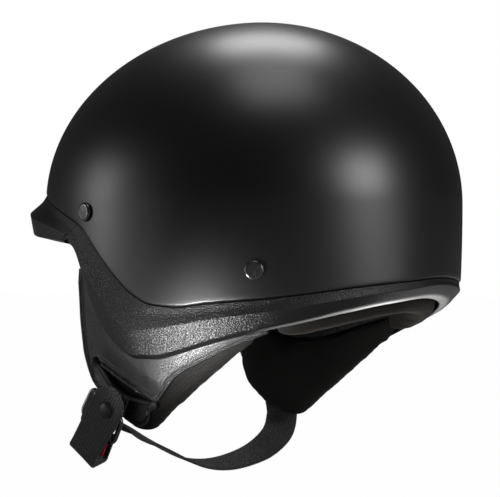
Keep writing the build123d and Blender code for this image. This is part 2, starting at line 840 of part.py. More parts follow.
def make_tail():
    """Folded-up end of the strap with a rounded tip."""
    half = web_width / 2
    with BuildPart() as strap_tail:
        with BuildSketch(buckle_face.offset(tail_out - web_thickness / 2)):
            with BuildLine():
                Polyline((half, tail_length - half), (half, fold_join_up), (-half, fold_join_up),
                         (-half, tail_length - half))
                RadiusArc((-half, tail_length - half), (half, tail_length - half), half)
            make_face()
        extrude(amount=web_thickness)
        with BuildSketch(buckle_face.offset(tail_out - web_thickness)):
            with Locations((0, snap_up)):
                Circle(snap_stud_radius + seat_gap)
        extrude(amount=web_thickness * 2, mode=Mode.SUBTRACT)
    return strap_tail.part


def make_snap_cap():
    """Domed cap outside the tail, its post through the webbing and the socket inside it."""
    outer = tail_out + web_thickness / 2 + seat_gap / 2
    inner = tail_out - web_thickness / 2 - seat_gap / 2
    gap = inner - bulge_out - web_thickness / 2
    with BuildPart() as snap_cap:
        with BuildSketch(buckle_face.offset(outer)):
            with Locations((0, snap_up)):
                Circle(snap_cap_radius)
        extrude(amount=snap_cap_height)
        rim = snap_cap.edges().sort_by(lambda edge: buckle_face.to_local_coords(edge.center()).Z)[-1]
        fillet(rim, snap_cap_height * snap_round_share)
        with BuildSketch(buckle_face.offset(inner)):
            with Locations((0, snap_up)):
                Circle(snap_stud_radius)
        extrude(amount=outer - inner)
        with BuildSketch(buckle_face.offset(inner)):
            with Locations((0, snap_up)):
                Circle(snap_cap_radius * snap_socket_share)
        extrude(amount=-gap / 2)
    return snap_cap.part


def make_snap_stud():
    """Stud plate on the strap that the socket presses onto."""
    seat = bulge_out + web_thickness / 2
    gap = tail_out - web_thickness / 2 - seat_gap / 2 - seat
    with BuildPart() as snap_stud:
        with BuildSketch(buckle_face.offset(seat)):
            with Locations((0, snap_up)):
                Circle(snap_cap_radius * snap_socket_share)
        extrude(amount=gap / 2 - seat_gap)
    return snap_stud.part


# Chin strap's middle line from the buckle to the far flap: x over the flap's outer reach, y and z over the
# slot's place, then how far the webbing leans over the strap's tilt
strap_route_shares = [(0.700, 1.250, 1.228, 0.86), (0.480, 1.235, 1.296, 0.66), (0.240, 1.190, 1.382, 0.6),
                      (0.040, 1.140, 1.440, 0.58), (-0.170, 1.080, 1.462, 0.58), (-0.390, 1.020, 1.450, 0.6),
                      (-0.640, 0.975, 1.405, 0.7), (-0.850, 0.970, 1.320, 0.8), (-0.955, 1.035, 1.215, 0.9),
                      (-0.976, 1.120, 1.115, 0.96)]
strap_steps = 36


def other_side(vector):
    """The same direction or place on the helmet's other side."""
    return Vector(-vector.X, vector.Y, vector.Z)


far_origin = other_side(fold_origin)
far_out = other_side(strap_out)
far_up = other_side(strap_up)
far_across = other_side(strap_across)


def strap_sections():
    """Middle, direction and width direction of each section of the chin strap."""
    start = fold_origin + strap_out * weave_start_out + strap_up * weave_start_up
    ahead = strap_out * (weave_start_out - inner_bar_out) + strap_up * (weave_start_up - weave_inner_up)
    end = far_origin + far_out * ply_out + far_up * far_ply_up
    places = [start]
    places += [Vector(x * flap_outer_x, y * slot_mid_y, z * slot_mid_z) for x, y, z, lean in strap_route_shares]
    places.append(end)
    leans = [1.0] + [row[3] for row in strap_route_shares] + [1.0]
    with BuildLine(mode=Mode.PRIVATE) as middle:
        Spline(*places, tangents=(ahead.normalized(), far_up))
    route = middle.line
    lengths = [0.0]
    for before, after in zip(places, places[1:]):
        lengths.append(lengths[-1] + (after - before).length)
    marks = [(length / lengths[-1], lean) for length, lean in zip(lengths, leans)]
    sections = [(start, ahead.normalized(), strap_across)]
    for step in range(1, strap_steps):
        share = step / strap_steps
        direction = route % share
        tilt = radians(strap_tilt * between(marks, share))
        across = Vector(0, cos(tilt), -sin(tilt))
        across = (across - direction * across.dot(direction)).normalized()
        sections.append((route @ share, direction, across))
    sections.append((end, far_up, far_across))
    return sections


def make_far_ply():
    """The chin strap's end: up over the far flap, in through its slot and up behind the skin."""
    points = [(ply_out, far_ply_up), (ply_out, slot_to_fold), (behind_skin, slot_to_fold),
              (behind_skin, ply_end_up)]
    face = Plane(origin=far_origin, x_dir=far_out, z_dir=far_out.cross(far_up))
    return ribbon(face, points, ply_bend_radius)


def make_chin_strap():
    """Flat strap from the far flap's slot, under the chin and through the buckle's rings."""
    weave = make_strap_weave()
    far_ply = make_far_ply()
    with BuildPart() as chin_strap:
        for place, direction, across in strap_sections():
            with BuildSketch(Plane(origin=place, x_dir=across, z_dir=direction)):
                Rectangle(web_width, web_thickness)
        loft(ruled=True)
        add(weave)
        add(far_ply)
    return chin_strap.part


rim_ring = make_rim_ring(rim_section)
rebate = make_rim_ring(rebate_section)
left_skin = make_flap_skin()
left_pad = make_flap_pad()
left_piping = make_flap_piping()
left_lips = make_slot_lips()
left_side = make_wall_pad(-side_pad_half_angle, side_pad_half_angle, side_pad_low, side_pad_high,
                          side_pad_thickness)
nodes = {
    "outer_shell": make_shell(),
    "front_brim": make_brim(rim_ring),
    "side_rear_trim": make_side_moulding(rim_ring),
    "eps_liner": make_foam(),
    "crown_pad": make_crown_pad(),
    "brow_pad": make_wall_pad(brow_pad_start, brow_pad_end, brow_pad_low, brow_pad_high, pad_thickness),
    "nape_pad": make_wall_pad(nape_pad_start, nape_pad_end, nape_pad_low, nape_pad_high, pad_thickness),
    "left_side_pad": left_side,
    "right_side_pad": flipped(left_side),
    "neck_roll": make_neck_roll(),
    "strap_rivets": make_rivets(),
    "anchor_plates": make_plates(),
    "left_strap_yoke": make_yoke(1),
    "right_strap_yoke": make_yoke(-1),
    "left_ear_flap": left_skin,
    "right_ear_flap": flipped(left_skin),
    "left_flap_pad": left_pad,
    "right_flap_pad": flipped(left_pad),
    "left_flap_piping": left_piping,
    "right_flap_piping": flipped(left_piping),
    "left_slot_lips": left_lips,
    "right_slot_lips": flipped(left_lips),
    "buckle_strap": make_buckle_strap(),
    "inner_ring": make_ring(inner_bar, 0),
    "outer_ring": make_ring(outer_bar, ring_splay),
    "pull_tab": make_pull_tab(),
    "strap_fold": make_strap_fold(),
    "strap_tail": make_tail(),
    "snap_cap": make_snap_cap(),
    "snap_stud": make_snap_stud(),
    "chin_strap": make_chin_strap(),
}
for name, piece in nodes.items():
    piece.label = name
    export_step(piece, f"parts/{name}.step")
    print(name, len(piece.solids()), round(piece.volume), piece.is_valid)
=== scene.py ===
import bmesh
import bpy
import numpy as np
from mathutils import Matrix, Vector


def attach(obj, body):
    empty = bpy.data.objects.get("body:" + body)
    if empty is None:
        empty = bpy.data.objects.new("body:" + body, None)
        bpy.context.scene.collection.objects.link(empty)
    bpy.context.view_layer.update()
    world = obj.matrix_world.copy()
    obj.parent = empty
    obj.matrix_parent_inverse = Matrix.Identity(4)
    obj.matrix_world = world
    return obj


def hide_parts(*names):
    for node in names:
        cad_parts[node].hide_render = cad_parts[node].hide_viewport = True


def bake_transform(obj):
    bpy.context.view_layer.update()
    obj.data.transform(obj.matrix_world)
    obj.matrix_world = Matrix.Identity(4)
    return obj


# Half shell motorcycle helmet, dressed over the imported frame.
# Shapes are worked out in millimetres, x to the wearer's left, y to the rear, z up, and written in metres.

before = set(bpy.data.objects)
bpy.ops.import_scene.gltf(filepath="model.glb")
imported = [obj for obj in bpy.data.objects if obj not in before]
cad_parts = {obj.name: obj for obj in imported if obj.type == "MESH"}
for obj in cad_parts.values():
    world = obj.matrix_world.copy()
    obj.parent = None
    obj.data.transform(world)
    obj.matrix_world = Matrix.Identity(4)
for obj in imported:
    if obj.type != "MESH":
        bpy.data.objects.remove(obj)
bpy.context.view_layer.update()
mm = 0.001
print("frame loaded:", len(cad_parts), "nodes")


# Mesh helpers

# Rows of points become a mesh of quads; a wrapped direction closes on itself, and caps fill the two end
# loops.
def gridPiece(name, points, finish, wrapRows=False, wrapCols=False, uv=None, caps=False, closed=False,
              creaseAngle=None, slot=None, body="helmet", replaces=()):
    rows, cols = points.shape[:2]
    index = np.arange(rows * cols).reshape(rows, cols)
    if wrapRows:
        index = np.vstack([index, index[:1]])
    if wrapCols:
        index = np.hstack([index, index[:, :1]])
    quads = np.stack([index[:-1, :-1], index[:-1, 1:], index[1:, 1:], index[1:, :-1]], -1).reshape(-1, 4)
    faces = quads.tolist()
    if caps:
        faces.append(index[0, :cols][::-1].tolist())
        faces.append(index[-1, :cols].tolist())
    mesh = bpy.data.meshes.new(name)
    mesh.from_pydata((points.reshape(-1, 3) * mm).tolist(), [], faces)
    if uv is not None:
        spread = uv.reshape(-1, 2)
        columns = index.shape[1]
        cell = np.arange(index.size).reshape(index.shape)
        corners = np.stack([cell[:-1, :-1], cell[:-1, 1:], cell[1:, 1:], cell[1:, :-1]], -1).reshape(-1)
        layer = mesh.uv_layers.new(name="UVMap")
        values = np.zeros((len(mesh.loops), 2))
        values[:len(corners)] = spread[corners]
        layer.data.foreach_set("uv", values.ravel())
    return finishMesh(name, mesh, finish, closed, creaseAngle, slot, body, replaces)


def finishMesh(name, mesh, finish, closed=False, creaseAngle=None, slot=None, body="helmet", replaces=()):
    if closed:
        work = bmesh.new()
        work.from_mesh(mesh)
        bmesh.ops.remove_doubles(work, verts=work.verts, dist=2e-6)
        bmesh.ops.recalc_face_normals(work, faces=work.faces)
        work.to_mesh(mesh)
        work.free()
    mesh.validate()
    mesh.shade_smooth()
    if creaseAngle:
        mesh.set_sharp_from_angle(angle=np.radians(creaseAngle))
    piece = bpy.data.objects.new(name, mesh)
    bpy.context.collection.objects.link(piece)
    mesh.materials.append(finish)
    if body:
        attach(piece, body)
    if replaces:
        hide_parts(*replaces)
    return piece


# Cloth swelling: the closed form is remeshed and evened, then blown up by pressure without gravity, and no
# point moves past the cap. The rule then keeps it off what it rests on and pulls its sewn channels back
# in.
swelling = {"voxel": 4.0, "evenShare": 0.5, "evenTimes": 5, "quality": 5, "pressure": 4.0, "frames": 20,
            "cap": 2.6}


def plump(piece, rule, cap=swelling["cap"]):
    scene = bpy.context.scene
    remesh = piece.modifiers.new("remesh", "REMESH")
    remesh.mode = "VOXEL"
    remesh.voxel_size = swelling["voxel"] * mm
    even = piece.modifiers.new("even", "SMOOTH")
    even.factor = swelling["evenShare"]
    even.iterations = swelling["evenTimes"]
    solid = bpy.data.meshes.new_from_object(piece.evaluated_get(bpy.context.evaluated_depsgraph_get()))
    piece.modifiers.clear()
    finish = piece.data.materials[0]
    piece.data = solid
    solid.materials.clear()
    solid.materials.append(finish)
    start = readPoints(solid)
    cloth = piece.modifiers.new("cloth", "CLOTH")
    cloth.settings.quality = swelling["quality"]
    cloth.settings.use_pressure = True
    cloth.settings.uniform_pressure_force = swelling["pressure"]
    cloth.settings.effector_weights.gravity = 0.0
    cloth.point_cache.frame_start = 1
    cloth.point_cache.frame_end = swelling["frames"]
    for frameNumber in range(1, swelling["frames"] + 1):
        scene.frame_set(frameNumber)
    move = readPoints(piece.evaluated_get(bpy.context.evaluated_depsgraph_get()).data) - start
    piece.modifiers.clear()
    scene.frame_set(1)
    reach = np.linalg.norm(move, axis=1, keepdims=True)
    swollen = start + move * np.minimum(1, cap / np.maximum(reach, 1e-6))
    solid.vertices.foreach_set("co", (rule(swollen) * mm).ravel())
    solid.shade_smooth()
    solid.update()
    finer = piece.modifiers.new("finer", "SUBSURF")
    finer.levels = 1
    finer.render_levels = 1


def readPoints(mesh):
    values = np.zeros(len(mesh.vertices) * 3)
    mesh.vertices.foreach_get("co", values)
    return values.reshape(-1, 3) / mm


# A smooth reading of a table with no overshoot: cubic pieces whose slopes are harmonic means of the runs
# beside them.
def eased(table, where):
    table = np.asarray(table, float)
    x, y = table[:, 0], table[:, 1]
    run = np.diff(x)
    slope = np.diff(y) / run
    product = slope[:-1] * slope[1:]
    total = np.where(np.abs(slope[:-1] + slope[1:]) < 1e-12, 1, slope[:-1] + slope[1:])
    tangent = np.concatenate([[0], np.where(product > 0, 2 * product / total, 0), [0]])
    where = np.clip(where, x[0], x[-1])
    at = np.clip(np.searchsorted(x, where, side="right") - 1, 0, len(x) - 2)
    share = (where - x[at]) / run[at]
    ease = share ** 2 * (3 - 2 * share)
    return (y[at] + (y[at + 1] - y[at]) * ease + share * (1 - share) ** 2 * run[at] * tangent[at]
            + share ** 2 * (share - 1) * run[at] * tangent[at + 1])


# From 0 at low to 1 at high along the cubic that is level at both ends.
def smoothStep(value, low, high):
    share = np.clip((value - low) / (high - low), 0, 1)
    return share * share * (3 - 2 * share)


# A curve through the points, read at even steps: each span is the usual four-point cubic.
def throughPoints(points, count):
    points = np.asarray(points, float)
    padded = np.vstack([2 * points[0] - points[1], points, 2 * points[-1] - points[-2]])
    share = np.linspace(0, 1, 24, endpoint=False)[:, None, None]
    a, b, c, d = padded[:-3], padded[1:-2], padded[2:-1], padded[3:]
    dense = 0.5 * (2 * b + (c - a) * share + (2 * a - 5 * b + 4 * c - d) * share ** 2
                   + (3 * b - a - 3 * c + d) * share ** 3)
    dense = np.vstack([dense.transpose(1, 0, 2).reshape(-1, points.shape[1]), points[-1:]])
    return evenly(dense, count)


# A line read at even steps of its length.
def evenly(points, count):
    steps = np.concatenate([[0], np.cumsum(np.linalg.norm(np.diff(points, axis=0), axis=1))])
    wanted = np.linspace(0, steps[-1], count)
    return np.stack([np.interp(wanted, steps, points[:, axis]) for axis in range(points.shape[1])], 1)


# Rounded corners: each is a parabola that starts and ends a radius away, or a share of the shorter side.
def cornerBends(before, corner, after, radii, limit, steps):
    back, ahead = before - corner, after - corner
    backLength = np.linalg.norm(back, axis=-1, keepdims=True)
    aheadLength = np.linalg.norm(ahead, axis=-1, keepdims=True)
    cut = np.minimum(radii[:, None], np.minimum(backLength, aheadLength) * limit)
    start = (corner + back / backLength * cut)[..., None, :]
    end = (corner + ahead / aheadLength * cut)[..., None, :]
    share = np.linspace(0, 1, steps)[:, None]
    return (1 - share) ** 2 * start + 2 * share * (1 - share) * corner[..., None, :] + share ** 2 * end


# Straight runs joined by rounded corners.
def roundedRoute(points, radii):
    points = np.asarray(points, float)
    bends = cornerBends(points[:-2], points[1:-1], points[2:], np.asarray(radii, float), 0.49, 13)
    return np.vstack([points[:1], bends.reshape(-1, points.shape[1]), points[-1:]])


def unit(vectors):
    return vectors / np.maximum(np.linalg.norm(vectors, axis=-1, keepdims=True), 1e-9)


# A wave raised to a power with its sign kept: small powers give a boxy section.
def power(wave, exponent):
    return np.sign(wave) * np.abs(wave) ** exponent


def fullTurn(count):
    return np.linspace(0, 2 * np.pi, count, endpoint=False)[None, :]


# A flat strip with rounded edges carried along a line: section points are middle + across * u + face * v,
# where u and v are powers of the cosine and sine of a full turn.
stripShape = {"around": 44, "sidePower": 0.16, "edgePower": 0.6, "edgeShare": 0.25}


def stripPiece(name, line, across, width, thickness, finish, **settings):
    tangent = unit(np.gradient(line, axis=0))
    across = unit(across - tangent * np.sum(across * tangent, axis=1, keepdims=True))
    face = np.cross(across, tangent)
    half = np.broadcast_to(np.asarray(width, float) / 2, (len(line),))[:, None]
    turn = fullTurn(stripShape["around"])
    spread = (half - thickness * stripShape["edgeShare"]) * power(np.cos(turn), stripShape["sidePower"])
    depth = thickness / 2 * power(np.sin(turn), stripShape["edgePower"])
    points = line[:, None] + across[:, None] * spread[..., None] + face[:, None] * depth[..., None]
    along = np.concatenate([[0], np.cumsum(np.linalg.norm(np.diff(line, axis=0), axis=1))])
    flat = np.concatenate([spread, spread[:, :1]], 1)
    uv = np.stack([flat, np.broadcast_to(along[:, None], flat.shape)], -1)
    return gridPiece(name, points, finish, wrapCols=True, uv=uv, caps=True, **settings)


# A round bar carried along a line: each section is a circle square to the line.
def tubePiece(name, line, radius, finish, **settings):
    tangent = unit(np.gradient(line, axis=0))
    side = unit(np.cross(tangent, [1.0, 0.0, 0.0]))
    other = np.cross(tangent, side)
    turn = fullTurn(14)[..., None]
    radius = np.broadcast_to(np.asarray(radius, float), (len(line),))[:, None, None]
    ring = side[:, None] * np.cos(turn) + other[:, None] * np.sin(turn)
    return gridPiece(name, line[:, None] + ring * radius, finish, wrapCols=True, caps=True, closed=True,
                     **settings)


# Thread stitches: each is a small round-ended bead laid along its direction on a surface. Its rows give
# the place along the stitch, the thickness and the lift off the cloth, as shares of the half length and
# the radius.
stitchShape = np.array([(-1.0, 0.25, -0.5), (-0.82, 0.8, 0.1), (-0.35, 1.0, 0.45), (0.35, 1.0, 0.45),
                        (0.82, 0.8, 0.1), (1.0, 0.25, -0.5)])


def stitchPiece(name, middles, directions, normals, length, radius, finish, **settings):
    directions = unit(directions)
    normals = unit(normals - directions * np.sum(normals * directions, axis=1, keepdims=True))
    sides = np.cross(directions, normals)
    along, thick, lift = stitchShape.T
    turn = fullTurn(6)[..., None]
    core = (middles[:, None] + directions[:, None] * (along * length / 2)[None, :, None]
            + normals[:, None] * (lift * radius)[None, :, None])
    ring = sides[:, None] * np.cos(turn) + normals[:, None] * np.sin(turn)
    points = core[:, :, None] + ring[:, None] * (thick * radius)[None, :, None, None]
    count, rings, around = points.shape[:3]
    index = np.arange(count * rings * around).reshape(count, rings, around)
    index = np.concatenate([index, index[:, :, :1]], 2)
    quads = np.stack([index[:, :-1, :-1], index[:, :-1, 1:], index[:, 1:, 1:], index[:, 1:, :-1]], -1)
    faces = quads.reshape(-1, 4).tolist()
    faces += index[:, 0, :around][:, ::-1].tolist() + index[:, -1, :around].tolist()
    mesh = bpy.data.meshes.new(name)
    mesh.from_pydata((points.reshape(-1, 3) * mm).tolist(), [], faces)
    return finishMesh(name, mesh, finish, closed=True, **settings)


# Material helpers

# A node socket that can stand in a sum: each operator adds the Math node it needs.
class Wire:
    def __init__(self, nodes, socket):
        self.nodes = nodes
        self.socket = socket

    def math(self, operation, first, second=0.0):
        return self.nodes.node("ShaderNodeMath", {"operation": operation}, {0: first, 1: second})

    def __add__(self, other):
        return self.math("ADD", self, other)

    def __radd__(self, other):
        return self.math("ADD", other, self)

    def __sub__(self, other):
        return self.math("SUBTRACT", self, other)

    def __rsub__(self, other):
        return self.math("SUBTRACT", other, self)

    def __mul__(self, other):
        return self.math("MULTIPLY", self, other)

    def __rmul__(self, other):
        return self.math("MULTIPLY", other, self)

    def __pow__(self, other):
        return self.math("POWER", self, other)

    def larger(self, other):
        return self.math("MAXIMUM", self, other)

    def sine(self):
        return self.math("SINE", self)


# A node tree. One method makes every node: its type, its settings, then the values or links of its sockets.
class Nodes:
    def __init__(self, tree):
        self.tree = tree
        tree.nodes.clear()

    def node(self, kind, settings=None, inputs=None, output=0):
        made = self.tree.nodes.new(kind)
        for label, value in (settings or {}).items():
            setattr(made, label, value)
        for label, value in (inputs or {}).items():
            if isinstance(value, Wire):
                self.tree.links.new(value.socket, made.inputs[label])
            else:
                made.inputs[label].default_value = value
        return Wire(self, made.outputs[output] if made.outputs else None)


class Finish(Nodes):
    def __init__(self, name, **constants):
        self.material = bpy.data.materials.new(name)
        self.material.use_nodes = True
        super().__init__(self.material.node_tree)
        inputs = {label.replace("_", " "): value for label, value in constants.items()}
        shader = self.node("ShaderNodeBsdfPrincipled", {}, inputs)
        self.surface = shader.socket.node
        self.node("ShaderNodeOutputMaterial", {}, {"Surface": shader})

    def feed(self, label, wire):
        self.tree.links.new(wire.socket, self.surface.inputs[label])

    # What varies over every finish.
    def dress(self, colour, roughness, normal):
        self.feed("Base Color", colour)
        self.feed("Roughness", roughness)
        self.feed("Normal", normal)
        return self.material

    def place(self):
        return self.node("ShaderNodeTexCoord", output="Object")

    def sheet(self):
        return self.node("ShaderNodeUVMap", {"uv_map": "UVMap"})

    def parts(self, vector):
        split = self.node("ShaderNodeSeparateXYZ", {}, {0: vector}).socket.node
        return [Wire(self, split.outputs[axis]) for axis in range(3)]

    def noise(self, vector, scale, detail=2.0, roughness=0.5, distortion=0.0):
        return self.node("ShaderNodeTexNoise", {}, {"Vector": vector, "Scale": scale, "Detail": detail,
                                                    "Roughness": roughness, "Distortion": distortion})

    def cells(self, vector, scale, feature="F1", **inputs):
        return self.node("ShaderNodeTexVoronoi", {"feature": feature},
                         {"Vector": vector, "Scale": scale, **inputs}, "Distance")

    def span(self, wire, low, high, newLow=0.0, newHigh=1.0):
        return self.node("ShaderNodeMapRange", {"interpolation_type": "SMOOTHSTEP"},
                         {0: wire, 1: low, 2: high, 3: newLow, 4: newHigh})

    def mixColour(self, factor, first, second):
        return self.node("ShaderNodeMix", {"data_type": "RGBA"}, {0: factor, 6: first, 7: second}, 2)

    def bump(self, height, distance, strength=1.0, **under):
        return self.node("ShaderNodeBump", {},
                         {"Height": height, "Distance": distance, "Strength": strength, **under})


def grey(value, warm=0.0):
    return (value * (1 + warm), value, value * (1 - warm), 1.0)


# Matte black paint: a very fine orange peel, faint cloudiness in its gloss and a few dust specks.
def makeShellPaint():
    paint = {"colour": 0.0022, "roughness": 0.37, "peel": 900.0, "peelHeight": 0.000012, "cloud": 14.0,
             "dust": 420.0, "dustColour": 0.03}
    finish = Finish("shellPaint", IOR=1.5, Specular_IOR_Level=0.5)
    place = finish.place()
    cloud = finish.noise(place, paint["cloud"], 3.0)
    fine = finish.noise(place, paint["peel"], 1.0)
    specks = finish.span(finish.cells(place, paint["dust"]), 0.0, 0.07, 1.0, 0.0)
    tint = finish.mixColour(cloud, grey(paint["colour"]), grey(paint["colour"] * 1.35))
    return finish.dress(finish.mixColour(specks * 0.3, tint, grey(paint["dustColour"])),
                        paint["roughness"] + (cloud - 0.5) * 0.07 + (fine - 0.5) * 0.05,
                        finish.bump(fine, paint["peelHeight"], 0.5))


# Grained black plastic: packed rounded pits over a finer tooth, which break the highlight into specks. The
# bevel under the rear is painted smooth, satin and near white: a painted reflection of the floor below it.
# Its share is a band of the section times a fade along the rim that grows towards the rear, both read from
# the rim's own map of section place and azimuth.
def makeTrimPlastic():
    grain = {"colour": 0.003, "roughness": 0.36, "pits": 1200.0, "tooth": 2600.0, "height": 0.00030}
    paintedBevelReflection = {"first": 5.55, "last": 6.45, "soft": 0.15, "start": 0.42, "full": 1.05, "colour": 0.82}
    finish = Finish("trimPlastic", IOR=1.5, Specular_IOR_Level=0.3)
    place = finish.place()
    section, azimuth = finish.parts(finish.sheet())[:2]
    pits = finish.cells(place, grain["pits"], "SMOOTH_F1", Smoothness=0.6)
    tooth = finish.noise(place, grain["tooth"], 1.0)
    wide = finish.noise(place, 40.0, 3.0)
    band = finish.span(section, paintedBevelReflection["first"] - paintedBevelReflection["soft"], paintedBevelReflection["first"]) * (
        1 - finish.span(section, paintedBevelReflection["last"], paintedBevelReflection["last"] + paintedBevelReflection["soft"]))
    # Share of the painted reflection on the bevel: near-white metallic colour in place of the floor's
    # reflection.
    edge = band * finish.span(azimuth, paintedBevelReflection["start"], paintedBevelReflection["full"])
    black = finish.mixColour(wide, grey(grain["colour"]), grey(grain["colour"] * 1.6))
    finish.feed("Metallic", edge * 0.95)
    roughness = (grain["roughness"] + (wide - 0.5) * 0.1 + (tooth - 0.5) * 0.14) * (1 - edge * 0.2)
    return finish.dress(finish.mixColour(edge, black, grey(paintedBevelReflection["colour"], 0.02)), roughness,
                        finish.bump((pits + tooth * 0.45) * (1 - edge), grain["height"]))


# Grained vinyl: small pebbles parted by fine creases, with wider soft wrinkles.
def makeVinyl():
    skin = {"colour": 0.008, "roughness": 0.43, "pebbles": 760.0, "fine": 2600.0, "grainHeight": 0.00012,
            "wrinkles": 42.0, "wrinkleHeight": 0.0014}
    finish = Finish("flapVinyl", IOR=1.5, Specular_IOR_Level=0.4, Coat_Weight=0.05, Coat_Roughness=0.38)
    place = finish.place()
    crease = finish.span(finish.cells(place, skin["pebbles"], "DISTANCE_TO_EDGE"), 0.0, 0.12)
    fine = finish.noise(place, skin["fine"], 1.0)
    worn = finish.noise(place, 25.0, 2.0)
    soft = finish.bump(finish.noise(place, skin["wrinkles"], 3.0, 0.55, 0.6), skin["wrinkleHeight"], 0.5)
    return finish.dress(finish.mixColour(worn, grey(skin["colour"]), grey(skin["colour"] * 1.9)),
                        skin["roughness"] + (worn - 0.5) * 0.12 + (1 - crease) * 0.14,
                        finish.bump(crease * 0.6 + fine * 0.5, skin["grainHeight"], Normal=soft))


# Brushed knit over foam: rows of small loops, a soft nap and slow lighter patches where it is rubbed.
def makeKnit(name, colour, warm, loops=620.0):
    knit = {"roughness": 0.86, "nap": 1500.0, "loopHeight": 0.00016, "folds": 55.0, "foldHeight": 0.0007}
    finish = Finish(name, IOR=1.35, Sheen_Weight=0.22, Sheen_Roughness=0.4, Sheen_Tint=grey(0.22, warm),
                    Specular_IOR_Level=0.2)
    place = finish.place()
    x, y, z = finish.parts(place)
    rows = (z * (loops * 6.28)).sine()
    columns = ((x + y) * (loops * 5.1)).sine()
    nap = finish.noise(place, knit["nap"], 3.0, 0.65)
    patch = finish.noise(place, 34.0, 3.0)
    tint = finish.mixColour(patch, grey(colour, warm), grey(colour * 1.8, warm))
    folds = finish.bump(finish.noise(place, knit["folds"], 2.0, 0.5, 0.4), knit["foldHeight"], 0.45)
    return finish.dress(finish.mixColour(nap * 0.5, tint, grey(colour * 2.6, warm)),
                        knit["roughness"] + (patch - 0.5) * 0.14,
                        finish.bump(rows * columns * 0.5 + nap, knit["loopHeight"], 0.8, Normal=folds))


# Coarse webbing: slanted rows of thread crowns, read from the strip's own across and along millimetres. A
# crown's height is the product of two waves, one along the slant and one across it. The colour follows the
# height: the crowns are painted lighter, a painted highlight, and the hollows darker, a painted shade.
def makeWebbing(name, low, high, pitch):
    weave = {"slant": 0.8, "turns": 6.2832, "acrossPitch": 0.86, "back": 0.35, "height": 0.00032}
    finish = Finish(name, IOR=1.45, Sheen_Weight=0.2, Sheen_Roughness=0.4, Specular_IOR_Level=0.45)
    across, along = finish.parts(finish.sheet())[:2]
    slant = (along + across * weave["slant"]) * (weave["turns"] / pitch)
    other = (across - along * weave["back"]) * (weave["turns"] / (pitch * weave["acrossPitch"]))
    crowns = (slant.sine() * 0.5 + 0.5) ** 1.6 * ((other.sine() * 0.5 + 0.5) * 0.75 + 0.25)
    fibre = finish.noise(finish.place(), 2400.0, 2.0, 0.7)
    wear = finish.noise(finish.place(), 70.0, 3.0)
    # Painted highlight on the crowns and painted shade in the hollows, varied by wear.
    return finish.dress(finish.mixColour(crowns * (wear * 0.7 + 0.5), low, high),
                        0.78 - crowns * 0.24 + (fibre - 0.5) * 0.15,
                        finish.bump(crowns + fibre * 0.22, weave["height"]))


# Black coated metal: hard gloss with faint handling scuffs.
def makeBlackMetal():
    finish = Finish("blackMetal", IOR=1.6, Coat_Weight=0.5, Coat_Roughness=0.12)
    place = finish.place()
    scuff = finish.noise(place, 260.0, 4.0, 0.6)
    fine = finish.noise(place, 1800.0, 2.0)
    return finish.dress(finish.mixColour(scuff, grey(0.004), grey(0.012)),
                        0.2 + finish.span(scuff, 0.45, 0.75) * 0.22 + (fine - 0.5) * 0.06,
                        finish.bump(fine, 0.00001, 0.4))


# Dull black lacquer of the snap: a soft broad gloss with a few rubbed spots.
def makeSnapLacquer():
    finish = Finish("snapLacquer", IOR=1.45, Specular_IOR_Level=0.35)
    place = finish.place()
    rubbed = finish.noise(place, 420.0, 3.0, 0.6)
    return finish.dress(finish.mixColour(rubbed, grey(0.003), grey(0.009)), 0.42 + (rubbed - 0.5) * 0.2,
                        finish.bump(finish.noise(place, 1600.0, 2.0), 0.00001, 0.4))


# Zinc plated steel: brushed, with slow bright and dull clouds.
def makePlateSteel():
    finish = Finish("plateSteel", Metallic=1.0)
    place = finish.place()
    cloud = finish.noise(place, 120.0, 3.0)
    return finish.dress(finish.mixColour(cloud, grey(0.42), grey(0.6, 0.02)), 0.34 + cloud * 0.2,
                        finish.bump(finish.noise(place, 2200.0, 2.0), 0.00002, 0.5))


# Moulded foam: flattened beads pressed against each other, with dark joints.
def makeFoam():
    finish = Finish("moldedFoam", IOR=1.4, Specular_IOR_Level=0.3)
    joint = finish.span(finish.cells(finish.place(), 260.0, "DISTANCE_TO_EDGE"), 0.0, 0.1)
    return finish.dress(finish.mixColour(joint * 0.8, grey(0.005), grey(0.014)), 0.62 + (1 - joint) * 0.2,
                        finish.bump(joint, 0.0003, 0.7))


# Sewing thread: twisted plies along its length, slightly glossy.
def makeThread():
    finish = Finish("sewingThread", IOR=1.5, Sheen_Weight=0.2)
    twist = finish.node("ShaderNodeTexWave", {"bands_direction": "DIAGONAL"},
                        {"Vector": finish.place(), "Scale": 900.0, "Distortion": 2.0})
    return finish.dress(finish.mixColour(twist, grey(0.03), grey(0.13)), 0.5 + twist * 0.15,
                        finish.bump(twist, 0.00005, 0.6))


shellPaint = makeShellPaint()
trimPlastic = makeTrimPlastic()
flapVinyl = makeVinyl()
linerKnit = makeKnit("linerKnit", 0.008, 0.08)
flapKnit = makeKnit("flapKnit", 0.008, 0.06, 700.0)
rollKnit = makeKnit("rollKnit", 0.006, 0.14, 560.0)
# Each webbing's darker colour is painted shade in its hollows, and its lighter colour a painted highlight on
# its crowns.
webbing = makeWebbing("strapWebbing", grey(0.001), grey(0.11), 1.45)
redRibbon = makeWebbing("tabRibbon", (0.45, 0.004, 0.010, 1), (0.95, 0.02, 0.04, 1), 0.7)
blackMetal = makeBlackMetal()
snapLacquer = makeSnapLacquer()
plateSteel = makePlateSteel()
moldedFoam = makeFoam()
sewingThread = makeThread()
print("materials made")


# Shell

shellForm = {"halfWidth": 122.0, "front": 145.0, "rear": 131.0, "crown": 116.7, "taper": 375.0, "wall": 3.0,
             "around": 480, "outerRows": 110, "lipRows": 13, "innerRows": 60}
rimForm = {"drop": 64.0, "reach": 13.0, "wall": 5.4, "flangeHeight": 8.0, "flangeThickness": 2.2,
           "recess": 0.9, "tailInset": 11.6, "bevel": 3.4, "gap": 0.2, "seamGap": 0.5, "creaseAngle": 38}
